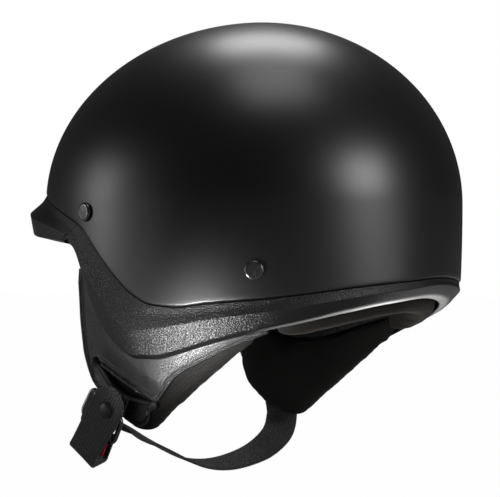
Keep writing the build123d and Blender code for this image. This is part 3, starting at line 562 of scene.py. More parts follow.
# Azimuth from the left side, front negative, then the shell edge, the crease, how far the crease stands
# out and the lower edge, as shares of the rim's drop and reach.
rimStations = np.array([
    (-90, 0.172, -0.031, 1.00, -0.258), (-75, 0.148, -0.062, 0.92, -0.297),
    (-60, 0.073, -0.141, 0.69, -0.360), (-50, -0.023, -0.211, 0.42, -0.383),
    (-42, -0.109, -0.281, 0.23, -0.406), (-37, -0.169, -0.367, 0.15, -0.484),
    (-33, -0.234, -0.531, 0.12, -0.727), (-30, -0.309, -0.688, 0.10, -0.945),
    (-26, -0.445, -0.828, 0.09, -1.172), (-22, -0.578, -0.984, 0.09, -1.320),
    (-17, -0.731, -1.148, 0.10, -1.441), (-12, -0.867, -1.219, 0.115, -1.503),
    (-5, -0.973, -1.213, 0.115, -1.503), (4, -0.997, -1.172, 0.115, -1.444),
    (14, -0.961, -1.117, 0.108, -1.352), (28, -0.923, -1.055, 0.077, -1.241),
    (42, -0.875, -0.984, 0.038, -1.148), (56, -0.816, -0.914, 0.0, -1.059),
    (72, -0.766, -0.844, 0.0, -0.977), (90, -0.727, -0.797, 0.0, -0.930)])
tailStations = [(-90, 0.30), (-40, 0.34), (28, 0.36), (42, 0.60), (56, 0.90), (72, 1.0), (90, 1.0)]


# Radius of the shell's ellipse at an azimuth and height, with its half axes drawn in by an inset and its
# front by a little more. Above the widest line it closes to the crown, and below it it tapers slowly.
def shellReach(angle, height, inset=0.0, frontExtra=0.0):
    length = np.where(np.sin(angle) < 0, shellForm["front"] - frontExtra, shellForm["rear"]) - inset
    crown = shellForm["crown"] - inset
    level = np.sqrt(np.maximum(1 - (height / np.where(height > 0, crown, shellForm["taper"])) ** 2, 0))
    return level / np.hypot(np.cos(angle) / (shellForm["halfWidth"] - inset), np.sin(angle) / length)


def around(angle, reach, height):
    return np.stack([reach * np.cos(angle), reach * np.sin(angle), height + 0 * reach], -1)


# Azimuth folded to the left side, in radians.
def leftAzimuth(angle):
    return np.arcsin(np.clip(np.sin(angle), -1, 1))


def rimRead(angle, column):
    return eased(rimStations[:, [0, column]], np.degrees(leftAzimuth(angle)))


def edgeHeight(angle):
    return rimRead(angle, 1) * rimForm["drop"]


def lowerHeight(angle):
    return rimRead(angle, 4) * rimForm["drop"]


# The dome's rows run from the crown down: a quarter turn gives the ellipsoid, and what is past it goes on
# straight.
def domeRows(angle, lowest, rows, inset):
    crown = shellForm["crown"] - inset
    turnEnd = np.where(lowest > 0, np.arccos(np.clip(lowest / crown, -1, 1)), np.pi / 2 - lowest / crown)
    turn = np.linspace(0, 1, rows)[:, None] * turnEnd[None, :]
    height = np.where(turn < np.pi / 2, crown * np.cos(turn), -crown * (turn - np.pi / 2))
    return around(np.broadcast_to(angle, height.shape), shellReach(angle[None, :], height, inset), height)


# The shell: the outer dome, a half round lip under its edge, and the inner dome a wall's thickness inside.
def makeShell():
    angle = fullTurn(shellForm["around"])[0]
    half = shellForm["wall"] / 2
    edge = edgeHeight(angle)
    outer = domeRows(angle, edge + half, shellForm["outerRows"], 0.0)
    turn = np.linspace(0, np.pi, shellForm["lipRows"])[1:-1, None]
    height = edge[None, :] + half - half * np.sin(turn)
    out = -half + half * np.cos(turn)
    lip = around(np.broadcast_to(angle, height.shape), shellReach(angle[None, :], height) + out, height)
    inner = domeRows(angle, edge + half, shellForm["innerRows"], shellForm["wall"])[::-1]
    points = np.concatenate([outer, lip, inner])
    gridPiece("helmetShell", points, shellPaint, wrapCols=True, closed=True, slot="shell_paint",
              replaces=("outer_shell",))


makeShell()
print("shell made")


# Rim

# Section corners of the rim, as distance out from the shell's skin and height, each with its rounding.
def rimSection(angle):
    folded = np.degrees(leftAzimuth(angle))
    edge = edgeHeight(angle) - rimForm["gap"]
    crease = rimRead(angle, 2) * rimForm["drop"]
    reach = rimRead(angle, 3) * rimForm["reach"]
    lower = lowerHeight(angle)
    tailShare = eased(tailStations, folded)
    tail = tailShare * rimForm["tailInset"]
    bevel = rimForm["bevel"] * np.maximum(tailShare, 0.7)
    band = edge + (crease - edge) * 0.45
    flangeOut = -shellForm["wall"] - rimForm["gap"]
    flangeIn = flangeOut - rimForm["flangeThickness"]
    inner = np.minimum(-rimForm["wall"], -tail - rimForm["flangeThickness"])
    lipOut = np.where(folded > -40, (reach - tail) * 0.45, reach * 0.8)
    blank = 0 * edge
    corners = [
        (flangeOut + blank, edge + rimForm["flangeHeight"], 0.6), (flangeOut + blank, edge, 0.3),
        (-rimForm["recess"] + blank, edge, 0.9), (reach * 0.3 - rimForm["recess"], band, 3.0),
        (reach, crease, 0.7), (lipOut, lower + bevel, 0.8), (-tail, lower, 0.6), (inner, lower, 0.6),
        (flangeIn + blank, edge - rimForm["flangeThickness"], 1.0),
        (flangeIn + blank, edge + rimForm["flangeHeight"], 0.6)]
    points = np.stack([np.stack([out, height], -1) for out, height, rounding in corners], -2)
    return points, np.array([rounding for out, height, rounding in corners])


# The rim's section closed on itself, with every corner rounded.
def roundedSection(points, radii):
    bends = cornerBends(np.roll(points, 1, -2), points, np.roll(points, -1, -2), radii, 0.45, 6)
    return bends.reshape(*points.shape[:-2], -1, 2)


# Points of the rim where every section point has its own azimuth.
def rimPoints(angles):
    flat = angles.reshape(-1)
    corners, radii = rimSection(flat)
    section = roundedSection(corners, radii)
    column = np.tile(np.arange(angles.shape[1]), angles.shape[0])
    out, height = section[np.arange(len(flat)), column].T
    return around(flat, shellReach(flat, height) + out, height).reshape(*angles.shape, 3)


# The slanted joint between brim and side moulding: each section point moves along its run until it meets
# the line.
seamForm = {"upper": (-75.0, -14.8), "lower": (-89.5, -24.3)}


def seamAngles(shift):
    count = roundedSection(*rimSection(np.array([-0.7])))[0].shape[0]
    angle = np.full((1, count), -0.75)
    (upperY, upperZ), (lowerY, lowerZ) = seamForm["upper"], seamForm["lower"]
    for attempt in range(12):
        points = rimPoints(angle)[0]
        wanted = upperY + (points[:, 2] - upperZ) * (lowerY - upperY) / (lowerZ - upperZ) + shift
        reach = np.hypot(points[:, 0], points[:, 1])
        angle = angle * 0.5 + 0.5 * np.arcsin(np.clip(wanted / reach, -0.98, -0.2))[None, :]
    return angle[0]


# The rim's own map: place along the section in corners, and azimuth folded to the left side.
def rimSheet(angles):
    place = np.repeat(np.arange(10), 6) + np.tile(np.linspace(-0.4, 0.4, 6), 10)
    place = np.append(place, 9.6)
    folded = leftAzimuth(np.concatenate([angles, angles[:, :1]], 1))
    return np.stack([np.broadcast_to(place, folded.shape), folded], -1)


# The rim's two mouldings: the same section carried round the front up to the seam, and from seam to seam
# behind it.
def makeRim():
    front = -np.pi / 2
    brimEnd = seamAngles(0.0)
    brim = front + np.linspace(-1, 1, 241)[:, None] * (brimEnd[None, :] - front)
    trimStart = seamAngles(rimForm["seamGap"])
    trim = trimStart[None, :] + np.linspace(0, 1, 561)[:, None] * (np.pi - 2 * trimStart[None, :])
    for name, node, angles in (("frontBrim", "front_brim", brim), ("sideRearTrim", "side_rear_trim", trim)):
        gridPiece(name, rimPoints(angles), trimPlastic, wrapCols=True, uv=rimSheet(angles), caps=True,
                  closed=True, creaseAngle=rimForm["creaseAngle"], slot="trim_plastic", replaces=(node,))


makeRim()
print("rim made")


# Liner pads: pillows between the foam and the head

foamForm = {"inset": 31.0, "frontExtra": 2.0, "gap": 0.3, "bottomRise": 8.0, "skirtInset": 14.5}


def cavityReach(angle, height, depth):
    return shellReach(angle, height, foamForm["inset"] + foamForm["gap"] + depth, foamForm["frontExtra"])


# Height of the foam's dome over a place in plan, a depth inside the shell's skin.
def foamCeiling(x, y, depth):
    length = np.where(y < 0, shellForm["front"] - foamForm["frontExtra"], shellForm["rear"])
    inside = 1 - (x / (shellForm["halfWidth"] - depth)) ** 2 - (y / (length - depth)) ** 2
    return (shellForm["crown"] - depth) * np.sqrt(np.maximum(inside, 0))


# Powers that round a wall pad's ends and section, its crown, and how wide and deep its channels are drawn
# and sewn.
wallPad = {"along": 121, "around": 64, "endPower": 9, "heightPower": 0.55, "facePower": 0.5, "crown": 0.22,
           "drawn": (1.3, 0.45), "sewn": (2.0, 0.5), "play": 1.5}


# A wall pad's section is a rounded box that shrinks to its ends; sewn channels pull its inner face back.
def makeWallPad(name, node, first, last, low, high, thickness, channels=()):
    ease = np.sin(np.linspace(-1, 1, wallPad["along"]) * np.pi / 2) * 0.5 + 0.5
    share = np.concatenate([[0.0], ease, [1.0]])[:, None]
    turn = fullTurn(wallPad["around"])
    end = np.maximum(1 - np.abs(2 * share - 1) ** wallPad["endPower"], 0) ** 0.5
    angle = np.radians(first + (last - first) * share) + 0 * turn
    height = (low + high) / 2 + (high - low) / 2 * end ** 0.6 * power(np.sin(turn), wallPad["heightPower"])
    face = 0.5 - 0.5 * power(np.cos(turn), wallPad["facePower"])
    crown = 1 - wallPad["crown"] * (2 * share - 1) ** 2
    depth = thickness * face * crown * end
    width, pulled = wallPad["drawn"]
    for place in channels:
        pull = np.exp(-((share - place) * (last - first) / width) ** 2)
        depth = depth * (1 - pulled * pull * (face > 0.5))
    points = around(angle, cavityReach(angle, height, depth), height)
    piece = gridPiece(name, points, linerKnit, wrapCols=True, caps=True, closed=True, slot="liner_cloth",
                      replaces=(node,))

    def keepOff(swollen):
        turned = np.arctan2(swollen[:, 1], swollen[:, 0])
        level = np.clip(swollen[:, 2], low - wallPad["play"], high + wallPad["play"])
        wall = cavityReach(turned, level, 0.0)
        proud = np.maximum(wall - np.hypot(swollen[:, 0], swollen[:, 1]), 0.15)
        along = np.mod(np.degrees(turned) - first, 360) / (last - first)
        width, pulled = wallPad["sewn"]
        for place in channels:
            pull = np.exp(-((along - place) * (last - first) / width) ** 2)
            proud = proud * (1 - pulled * pull * smoothStep(proud, 1, 4))
        return around(turned, wall - proud, level)

    plump(piece, keepOff)


# The crown pad is a disc under the foam's crown, in four lobes parted by two sewn channels.
def makeCrownPad():
    pad = {"radius": 61.5, "base": 3.4, "lobe": 4.4, "channel": 3.2, "sewn": 2.6, "pulled": 0.45}
    turn = fullTurn(192)
    upper = np.linspace(0, 1, 36)[:, None] ** 0.8
    lower = upper[::-1]
    rowsShare = np.concatenate([upper, lower])
    under = np.concatenate([np.zeros_like(upper), np.ones_like(lower)])
    x = pad["radius"] * rowsShare * np.cos(turn)
    y = pad["radius"] * rowsShare * np.sin(turn)
    near = np.minimum(np.abs(x), np.abs(y))
    lobe = (1 - np.exp(-(near / pad["channel"]) ** 2)) * (1 - rowsShare ** 8) ** 0.5
    rim = np.maximum(1 - rowsShare ** 14, 0) ** 0.5
    thickness = under * (pad["base"] * rim + pad["lobe"] * lobe)
    z = foamCeiling(x, y, foamForm["inset"] + foamForm["gap"] + thickness)
    piece = gridPiece("crownPad", np.stack([x, y, z], -1), linerKnit, wrapCols=True, closed=True,
                      slot="liner_cloth", replaces=("crown_pad",))

    def keepOff(swollen):
        x, y, z = swollen.T
        ceiling = foamCeiling(x, y, foamForm["inset"]) - foamForm["gap"]
        near = np.minimum(np.abs(x), np.abs(y))
        proud = np.maximum(ceiling - z, 0)
        proud = proud * (1 - pad["pulled"] * np.exp(-(near / pad["sewn"]) ** 2) * smoothStep(proud, 1, 4))
        return np.stack([x, y, ceiling - proud], 1)

    plump(piece, keepOff)


# Each wall pad's node, first and last azimuth, lower and upper edge, thickness and channel places.
wallPads = {
    "browPad": ("brow_pad", -131.5, -48.5, -5.7, 25.7, 7.6, (0.33, 0.67)),
    "napePad": ("nape_pad", 50.5, 129.5, -43.7, 5.7, 7.6, (0.33, 0.67)),
    "leftSidePad": ("left_side_pad", -35.5, 35.5, -51.5, 13.7, 11.6, (0.5,)),
    "rightSidePad": ("right_side_pad", 144.5, 215.5, -51.5, 13.7, 11.6, (0.5,))}


def makeLinerPads():
    makeCrownPad()
    for name, settings in wallPads.items():
        makeWallPad(name, *settings)


# The neck roll hangs under the foam round the nape: a rounded section, tapered and closed at both ends.
def makeNeckRoll():
    roll = {"first": 34.5, "last": 145.5, "width": 20.0, "drop": 9.0, "rise": 1.6, "gap": 0.6, "boxy": 0.62,
            "creaseAt": 300, "tilt": -0.16, "cap": 2.0}
    share = np.linspace(0, 1, 161)[:, None]
    turn = fullTurn(48)
    angle = np.radians(roll["first"] + (roll["last"] - roll["first"]) * share)
    end = np.maximum(1 - np.abs(2 * share - 1) ** 12, 0) ** 0.5
    lower = lowerHeight(angle)
    outer = shellReach(angle, lower) - foamForm["skirtInset"] - roll["gap"]
    top = lower + foamForm["bottomRise"] + roll["rise"]
    bottom = lower - roll["drop"]
    middleReach = outer - roll["width"] / 2
    middle = (top + bottom) / 2
    crease = 1 - 0.05 * np.exp(-((np.degrees(turn) - roll["creaseAt"]) / 9) ** 2)
    reach = middleReach + roll["width"] / 2 * end * power(np.cos(turn), roll["boxy"]) * crease
    height = middle + (top - bottom) / 2 * end * power(np.sin(turn), roll["boxy"]) * crease
    slope = (reach - middleReach) * roll["tilt"] * np.abs(np.sin(angle))
    piece = gridPiece("neckRoll", around(angle + 0 * turn, reach, height - slope), rollKnit, wrapCols=True,
                      caps=True, closed=True, slot="liner_cloth", replaces=("neck_roll",))

    def keepOff(swollen):
        turned = np.arctan2(swollen[:, 1], swollen[:, 0])
        edge = lowerHeight(turned)
        wall = shellReach(turned, edge) - foamForm["skirtInset"] - 0.5
        reach = np.minimum(np.hypot(swollen[:, 0], swollen[:, 1]), wall)
        return around(turned, reach, np.minimum(swollen[:, 2], edge + foamForm["bottomRise"] + roll["rise"]))

    plump(piece, keepOff, roll["cap"])


makeLinerPads()
makeNeckRoll()
print("liner made")


# Ear flaps

flapForm = {"radius": 190.0, "outerX": 108.2, "middleY": -8.0, "levelZ": -85.0, "lean": 3.5, "skin": 2.0,
            "frontY": -72.2, "topZ": -58.3, "length": 133.6, "drop": 80.0}
# Outlines in shares of the flap's length and drop: the skin in four runs with a corner between each, the
# pad in one.
flapRuns = [
    [(-0.023, -0.215), (-0.017, 0.0), (-0.014, 0.184), (-0.002, 0.365), (0.008, 0.459), (0.044, 0.612),
     (0.094, 0.742)],
    [(0.166, 0.815), (0.290, 0.900), (0.302, 0.959), (0.338, 1.0), (0.382, 0.966), (0.396, 0.895)],
    [(0.432, 0.824), (0.478, 0.738), (0.552, 0.604), (0.717, 0.459), (0.914, 0.316), (0.985, 0.268)],
    [(0.985, 0.130), (0.810, 0.184), (0.540, 0.284), (0.346, 0.326), (0.204, 0.13), (0.090, -0.17)]]
padRun = [(0.031, 0.10), (0.043, 0.446), (0.046, 0.571), (0.080, 0.759), (0.144, 0.890), (0.219, 0.984),
          (0.331, 1.059), (0.406, 1.009), (0.480, 0.909), (0.593, 0.765), (0.720, 0.610), (0.840, 0.458),
          (0.930, 0.350), (0.955, 0.10)]


# The flap follows a leaning cylinder: x at a place in the side view, or further in by an inward depth.
def flapX(y, z, inward=0.0):
    lean = np.radians(flapForm["lean"])
    sag = flapForm["radius"] - np.sqrt((flapForm["radius"] - inward) ** 2 - (y - flapForm["middleY"]) ** 2)
    return flapForm["outerX"] - sag / np.cos(lean) + (z - flapForm["levelZ"]) * np.tan(lean)


# Side view places, y and z, of shares along and down the flap.
def flapPlaces(shares):
    shares = np.asarray(shares, float)
    return np.stack([flapForm["frontY"] + shares[:, 0] * flapForm["length"],
                     flapForm["topZ"] - shares[:, 1] * flapForm["drop"]], 1)


# Buckle frame: out from the skin at the slot, up along the strap and across it. All buckle numbers are
# millimetres.
strapForm = {"width": 22.0, "thickness": 1.6, "tilt": 29.0, "slotY": -41.5, "slotZ": -116.6,
             "slotToFold": 45.3}


def turned(vector, axis, angle):
    axis = unit(axis)
    return (vector * np.cos(angle) + np.cross(axis, vector) * np.sin(angle)
            + axis * np.dot(axis, vector) * (1 - np.cos(angle)))


slotTurn = np.arcsin((strapForm["slotY"] - flapForm["middleY"]) / flapForm["radius"])
slotLean = np.radians(flapForm["lean"])
strapOut = np.array([np.cos(slotTurn) * np.cos(slotLean), np.sin(slotTurn),
                     -np.cos(slotTurn) * np.sin(slotLean)])
strapAcross = turned(unit(np.cross([0.0, 0.0, 1.0], strapOut)), strapOut, -np.radians(strapForm["tilt"]))
strapUp = np.cross(strapOut, strapAcross)
slotCentre = np.array([flapX(strapForm["slotY"], strapForm["slotZ"]), strapForm["slotY"],
                       strapForm["slotZ"]])
foldOrigin = slotCentre - strapUp * strapForm["slotToFold"]
mirrorX = np.array([-1.0, 1.0, 1.0])


# Points or directions of the left side, or their mirror image for the right.
def flipped(points, side):
    return points * (mirrorX if side < 0 else 1.0)


# Place on the flap along and above the slot.
def slotPlace(points):
    offset = points - slotCentre
    return offset @ strapAcross, offset @ strapUp


# The slit's two lids: the upper edge is nearly straight, and the strap draws the lower one down in the
# middle.
def upperLid(along):
    return 6.5 - 0.3 * (along / 27) ** 2


def lowerLid(along):
    return 5.9 - 6.5 * np.exp(-(np.abs(along - 2) / 16.5) ** 2.4)


# Points on the flap's skin, along and above the slot, lifted off it.
def onFlap(along, up, lift=0.0):
    flat = slotCentre + np.asarray(along)[:, None] * strapAcross + np.asarray(up)[:, None] * strapUp
    flat[:, 0] = flapX(flat[:, 1], flat[:, 2]) + lift
    return flat


def closedOutline(line, count):
    return evenly(np.vstack([line, line[:1]]), count + 1)[:-1]


# The skin: rings from the flap's heart out to its outline, rolled over the edge and back under to the
# heart. Its face adds a soft puff above the slot, a seam beside the edge, the sunken slit and the folds
# round it.
def makeFlapSkin(side, name, node):
    skin = {"heart": (-36.0, -98.0), "rings": 46, "rollRings": 7, "backRings": 16, "puff": 2.6, "seam": 0.55,
            "seamAt": 0.925, "seamWidth": 0.012, "pocket": 2.6, "hem": 0.9, "creases": 0.12, "below": 0.8}
    outline = closedOutline(np.vstack([throughPoints(flapPlaces(run), 60) for run in flapRuns]), 320)
    heart = np.array(skin["heart"])
    front = 1 - np.linspace(1, 0, skin["rings"]) ** 1.5
    roll = np.linspace(0, np.pi, skin["rollRings"] + 2)[1:-1]
    back = np.linspace(0.985, 0.0, skin["backRings"])
    flat, inside = np.zeros(skin["rings"]), np.zeros(skin["backRings"])
    ring = np.concatenate([front, np.ones_like(roll), back])[:, None]
    depth = np.concatenate([flat, 1 - np.cos(roll), inside + 2.0])[:, None] * flapForm["skin"] / 2
    tuckIn = np.concatenate([flat, np.sin(roll), inside])[:, None]
    places = heart + ring[..., None] * (outline - heart)[None]
    outward = unit(outline - heart)
    edge = np.where(ring < 0.97, 0, 1)[..., None] * 0.9
    places = places + outward[None] * (tuckIn[..., None] - 1.0) * edge
    y, z = places[..., 0], places[..., 1]
    points = np.stack([flapX(y, z, depth + 0 * y), y, z], -1)
    along, up = slotPlace(points)
    sideways = np.abs(along)
    puff = skin["puff"] * (1 - ring ** 4) * smoothStep(up, 9.5, 22) * smoothStep(y, -66, -40)
    seam = -skin["seam"] * np.exp(-((ring - skin["seamAt"]) / skin["seamWidth"]) ** 2)
    within = smoothStep(up - lowerLid(along), -0.6, 1.2) * smoothStep(upperLid(along) - up, -0.6, 1.2)
    pocket = -skin["pocket"] * within * smoothStep(27 - sideways, 0, 3)
    hem = skin["hem"] * np.exp(-((up - upperLid(along) - 2.2) / 1.6) ** 2) * smoothStep(28 - sideways, 0, 4)
    creases = skin["creases"] * np.sin(along * 0.62 + up * 0.2) * np.exp(-((up - 15) / 5) ** 2)
    creases = creases * smoothStep(30 - sideways, 0, 9)
    below = skin["below"] * np.exp(-((up + 6) / 3.5) ** 2) * smoothStep(26 - sideways, 0, 8)
    points[..., 0] += (depth == 0) * (puff + seam + pocket + hem + creases + below)
    gridPiece(name, flipped(points, side), flapVinyl, wrapCols=True, closed=True, slot="flap_vinyl",
              replaces=(node,))


# The cushion behind the skin: flat against it, round at the edge and crowned towards the jaw.
def makeFlapPad(side, name, node):
    pad = {"heart": (-28.0, -104.0), "outer": 2.3, "thickness": 15.6, "edge": 0.30, "face": 0.75,
           "crown": 0.06, "rearThin": 0.62, "waves": 0.35, "cap": 2.2}
    outline = closedOutline(throughPoints(flapPlaces(padRun), 220), 280)
    heart = np.array(pad["heart"])
    turn = np.linspace(-np.pi / 2, np.pi / 2, 56)[:, None]
    ring = np.abs(np.cos(turn)) ** pad["edge"]
    face = 0.5 + 0.5 * power(np.sin(turn), pad["face"])
    places = heart + ring[..., None] * (outline - heart)[None]
    y, z = places[..., 0], places[..., 1]
    z = np.minimum(z, foamBottom(y) - 0.5)
    crown = 1 + pad["crown"] * (1 - ring ** 2) * (face > 0.5)
    thin = 1 - pad["rearThin"] * smoothStep(y, 0, 58)
    waves = pad["waves"] * np.sin(y * 0.21 + z * 0.13) * np.sin(z * 0.24) * (face > 0.5)
    depth = pad["outer"] + pad["thickness"] * thin * face * crown + waves
    points = flipped(np.stack([flapX(y, z, depth), y, z], -1), side)
    piece = gridPiece(name, points, flapKnit, wrapCols=True, closed=True, slot="flap_lining",
                      replaces=(node,))

    def keepOff(swollen):
        y = swollen[:, 1]
        z = np.minimum(swollen[:, 2], foamBottom(y) - 0.4)
        inward = np.maximum(flapX(y, z) - swollen[:, 0] * side, pad["outer"])
        return np.stack([flapX(y, z, inward) * side, y, z], 1)

    plump(piece, keepOff, pad["cap"])


# Height of the foam's lower edge in the side view.
def foamBottom(y):
    angle = np.linspace(-np.pi / 2, np.pi / 2, 181)
    height = lowerHeight(angle)
    return np.interp(y, shellReach(angle, height) * np.sin(angle), height + foamForm["bottomRise"])


# Piping: a round bar along the front run of the flap's outline, thinner at both ends.
def makePiping(side, name, node):
    run = throughPoints(flapPlaces(flapRuns[0]), 120)
    line = np.stack([flapX(run[:, 0], run[:, 1], 1.0), run[:, 0], run[:, 1]], 1)
    radius = 1.6 * np.minimum(1, 0.35 + 6 * np.minimum(np.linspace(0, 1, 120), np.linspace(1, 0, 120)))
    tubePiece(name, flipped(line, side), radius, flapVinyl, slot="flap_vinyl", replaces=(node,))


# Raised lips round the slit: a rolled bead along the lower lid that ends in a round knob at each corner, a
# flatter fold under it, and a thin rolled hem along the upper lid.
def makeLips(side, name, node):
    lips = {"corner": 29.5, "bead": 1.8, "knob": 3.6, "knobLength": 2.8, "fold": 1.25, "hem": 1.5}
    along = np.linspace(-lips["corner"], lips["corner"], 121)
    nearEnd = lips["corner"] - np.abs(along)
    cap = np.sqrt(np.clip(1 - (1 - np.clip(nearEnd / 3.0, 0, 1)) ** 2, 0.02, 1))
    knob = lips["bead"] + (lips["knob"] - lips["bead"]) * np.exp(-((nearEnd - 3.0) / lips["knobLength"]) ** 2)
    tubePiece(name, flipped(onFlap(along, lowerLid(along) - 0.4, 0.5), side), knob * cap, flapVinyl,
              slot="flap_vinyl", replaces=(node,))
    inner = along * 0.66 - 3.0
    end = np.sqrt(np.clip(1 - (np.abs(along) / lips["corner"]) ** 6, 0.03, 1))
    fold, hem = onFlap(inner, lowerLid(inner) - 3.3, 0.1), onFlap(inner, upperLid(inner) + 0.9, 0.2)
    tubePiece(name + "Fold", flipped(fold, side), lips["fold"] * end, flapVinyl, slot="flap_vinyl")
    tubePiece(name + "Hem", flipped(hem, side), lips["hem"] * end, flapVinyl, slot="flap_vinyl")


# Dark knit laid between the lids: a lens of the flap's lining cloth just over the sunken skin, a dark sheet
# that stands in for the shade deep in the slit.
def makeSlitShadeSheet(side, name):
    lining = {"reach": 26.5, "sunk": 1.7, "thickness": 0.7}
    share = np.linspace(0, 1, 9)[:, None]
    along = np.linspace(-lining["reach"], lining["reach"], 90)[None, :]
    up = lowerLid(along) + share * (upperLid(along) - lowerLid(along))
    flat = onFlap((along + 0 * up).ravel(), up.ravel(), -lining["sunk"]).reshape(*up.shape, 3)
    under = flat - np.array([lining["thickness"], 0, 0])
    gridPiece(name, flipped(np.concatenate([flat, under[::-1]]), side), flapKnit, wrapRows=True, closed=True,
              slot="flap_lining")


# Zigzag stitches over the slot: short beads laid by turns up and down along the hem.
def makeFlapStitches(side, name):
    stitches = {"first": -20.0, "last": 13.0, "count": 38, "above": 1.0, "lift": 1.75, "length": 2.9,
                "radius": 0.36, "ahead": 0.6, "lean": 0.9}
    along = np.linspace(stitches["first"], stitches["last"], stitches["count"])
    middles = onFlap(along, upperLid(along) + stitches["above"], stitches["lift"])
    tangent = unit(np.gradient(middles, axis=0))
    lean = np.where(np.arange(stitches["count"]) % 2 == 0, 1, -1)[:, None] * stitches["lean"]
    directions = tangent * stitches["ahead"] + unit(np.cross(tangent, [1.0, 0.0, 0.0])) * lean
    normals = flipped(np.tile([1.0, 0.0, 0.0], (len(middles), 1)), side)
    stitchPiece(name, flipped(middles, side), flipped(directions, side), normals, stitches["length"],
                stitches["radius"], sewingThread, slot="webbing")


for side, label in ((1, "left"), (-1, "right")):
    makeFlapSkin(side, label + "FlapSkin", label + "_ear_flap")
    makeFlapPad(side, label + "FlapPad", label + "_flap_pad")
    makePiping(side, label + "FlapPiping", label + "_flap_piping")
    makeLips(side, label + "SlotLips", label + "_slot_lips")
    makeSlitShadeSheet(side, label + "SlitShadeSheet")
    makeFlapStitches(side, label + "FlapStitches")
print("flaps made")


# Strap and buckle

buckleForm = {"wire": 3.2, "clearance": 0.3, "lipHeight": 1.6, "innerUp": 32.5, "outerUp": 40.0,
              "barStep": 3.6, "ringHeight": 18.0, "splay": 8.0, "seat": 0.2, "tabPly": 0.6, "snapGap": 1.4,
              "joinUp": 7.0, "foldLow": 0.8, "loopWidth": 20.4, "loopShift": 0.9}
wrap = buckleForm["wire"] / 2 + buckleForm["clearance"] + strapForm["thickness"] / 2
plyOut = buckleForm["lipHeight"] + strapForm["thickness"] / 2 + buckleForm["seat"]
innerBar = np.array([plyOut + wrap, buckleForm["innerUp"]])
outerBar = np.array([innerBar[0] + buckleForm["barStep"], buckleForm["outerUp"]])
splay = np.radians(buckleForm["splay"])
bulgeOut = outerBar[0] + buckleForm["ringHeight"] * np.sin(splay) + wrap
underOuter = outerBar[1] - buckleForm["ringHeight"] * np.cos(splay) - wrap
backOut = innerBar[0] - wrap - buckleForm["tabPly"] - buckleForm["seat"]
tailOut = bulgeOut + strapForm["thickness"] + buckleForm["snapGap"]
behindSkin = -flapForm["skin"] - 1.6


# Places out from and up along the buckle frame.
def inBuckle(route, side=1):
    return flipped(foldOrigin + route[:, :1] * strapOut + route[:, 1:] * strapUp, side)


def acrossFor(line, side=1):
    return np.tile(flipped(strapAcross, side), (len(line), 1))


# Loop of webbing round both bars, with its ply up over the lips and in through the slot.
def makeBuckleStrap():
    lean = unit(outerBar - innerBar)
    right = np.array([lean[1], -lean[0]])
    start = np.array([[behindSkin, 52.0], [behindSkin, 45.3], [plyOut, 45.3], [plyOut, innerBar[1]]])
    plyRun = roundedRoute(start, [1.5, 1.5])
    low = np.linspace(np.pi, 2 * np.pi + np.arctan2(right[1], right[0]), 15)[1:]
    underInner = innerBar + wrap * np.stack([np.cos(low), np.sin(low)], 1)
    high = np.linspace(np.arctan2(right[1], right[0]), np.pi + np.arctan2(right[1], right[0]), 19)
    overOuter = outerBar + wrap * np.stack([np.cos(high), np.sin(high)], 1)
    close = innerBar - right * wrap + lean * 0.5
    route = np.vstack([plyRun, underInner, overOuter, close[None]])
    line = inBuckle(evenly(route, 150))
    stripPiece("buckleStrap", line + strapAcross * buckleForm["loopShift"], acrossFor(line),
               buckleForm["loopWidth"], strapForm["thickness"], webbing, slot="webbing",
               replaces=("buckle_strap",))


# The chin strap's free run under the chin, in shares of the slot's x, y and z, and the share of the slot's
# tilt that the strap keeps at each x.
chinRoute = [(0.700, 1.250, 1.228), (0.480, 1.235, 1.296), (0.240, 1.190, 1.382), (0.040, 1.140, 1.440),
             (-0.170, 1.080, 1.462), (-0.390, 1.020, 1.450), (-0.640, 0.975, 1.405), (-0.850, 0.970, 1.320),
             (-0.955, 1.035, 1.215), (-0.976, 1.120, 1.115)]
chinTilt = [(-110, 1.0), (-104, 0.9), (-92, 0.8), (-69, 0.7), (-42, 0.6), (-18, 0.58), (4, 0.58), (26, 0.6),
            (48, 0.72), (68, 1.15), (80, 1.35), (92, 1.15)]
chinSteps = {"near": 110, "free": 200, "far": 30}


# The chin strap: in through the far slot, down and under the chin, then up through both rings and back
# over one. Its three runs are joined, and its across directions are blended from the buckle's to the free
# run's and evened.
def makeChinStrap():
    near = inBuckle(roundedRoute(np.array([
        (backOut, buckleForm["joinUp"]), (backOut, underOuter), (bulgeOut, underOuter), (bulgeOut, 40.5),
        (outerBar[0] + 0.6, 30.2), (innerBar[0] - 1.6, 25.2), (-14.0, 18.5)]), [2.7, 2.7, 1.9, 5.0, 5.0]))
    middle = np.array(chinRoute) * np.array([flapForm["outerX"], strapForm["slotY"], strapForm["slotZ"]])
    far = inBuckle(roundedRoute(np.array([
        (plyOut, 40.0), (plyOut, 45.3), (behindSkin, 45.3), (behindSkin, 52.0)]), [1.5, 1.5]), -1)
    sagging = throughPoints(np.vstack([near[-8:-1:7], near[-1:], middle, far[:2]]), chinSteps["free"])
    nearEnd = np.argmin(np.linalg.norm(sagging - near[-1], axis=1))
    farEnd = np.argmin(np.linalg.norm(sagging - far[0], axis=1))
    first, last = chinSteps["near"], chinSteps["far"]
    line = np.vstack([evenly(near, first), sagging[nearEnd + 1:farEnd], evenly(far, last)])
    tilt = np.radians(strapForm["tilt"] * eased(chinTilt, line[:, 0]))
    across = np.stack([0 * tilt, np.cos(tilt), -np.sin(tilt)], 1)
    across[:first] = strapAcross
    across[-last:] = strapAcross * mirrorX
    ease = smoothStep(np.arange(len(line)), first - 2, first + 40)[:, None]
    across = strapAcross * (1 - ease) + across * ease
    for attempt in range(12):
        across[first + 1:-last - 1] = (across[first:-last - 2] + across[first + 2:-last]) / 2
    stripPiece("chinStrap", line, across, strapForm["width"], strapForm["thickness"], webbing, slot="webbing",
               replaces=("chin_strap",))


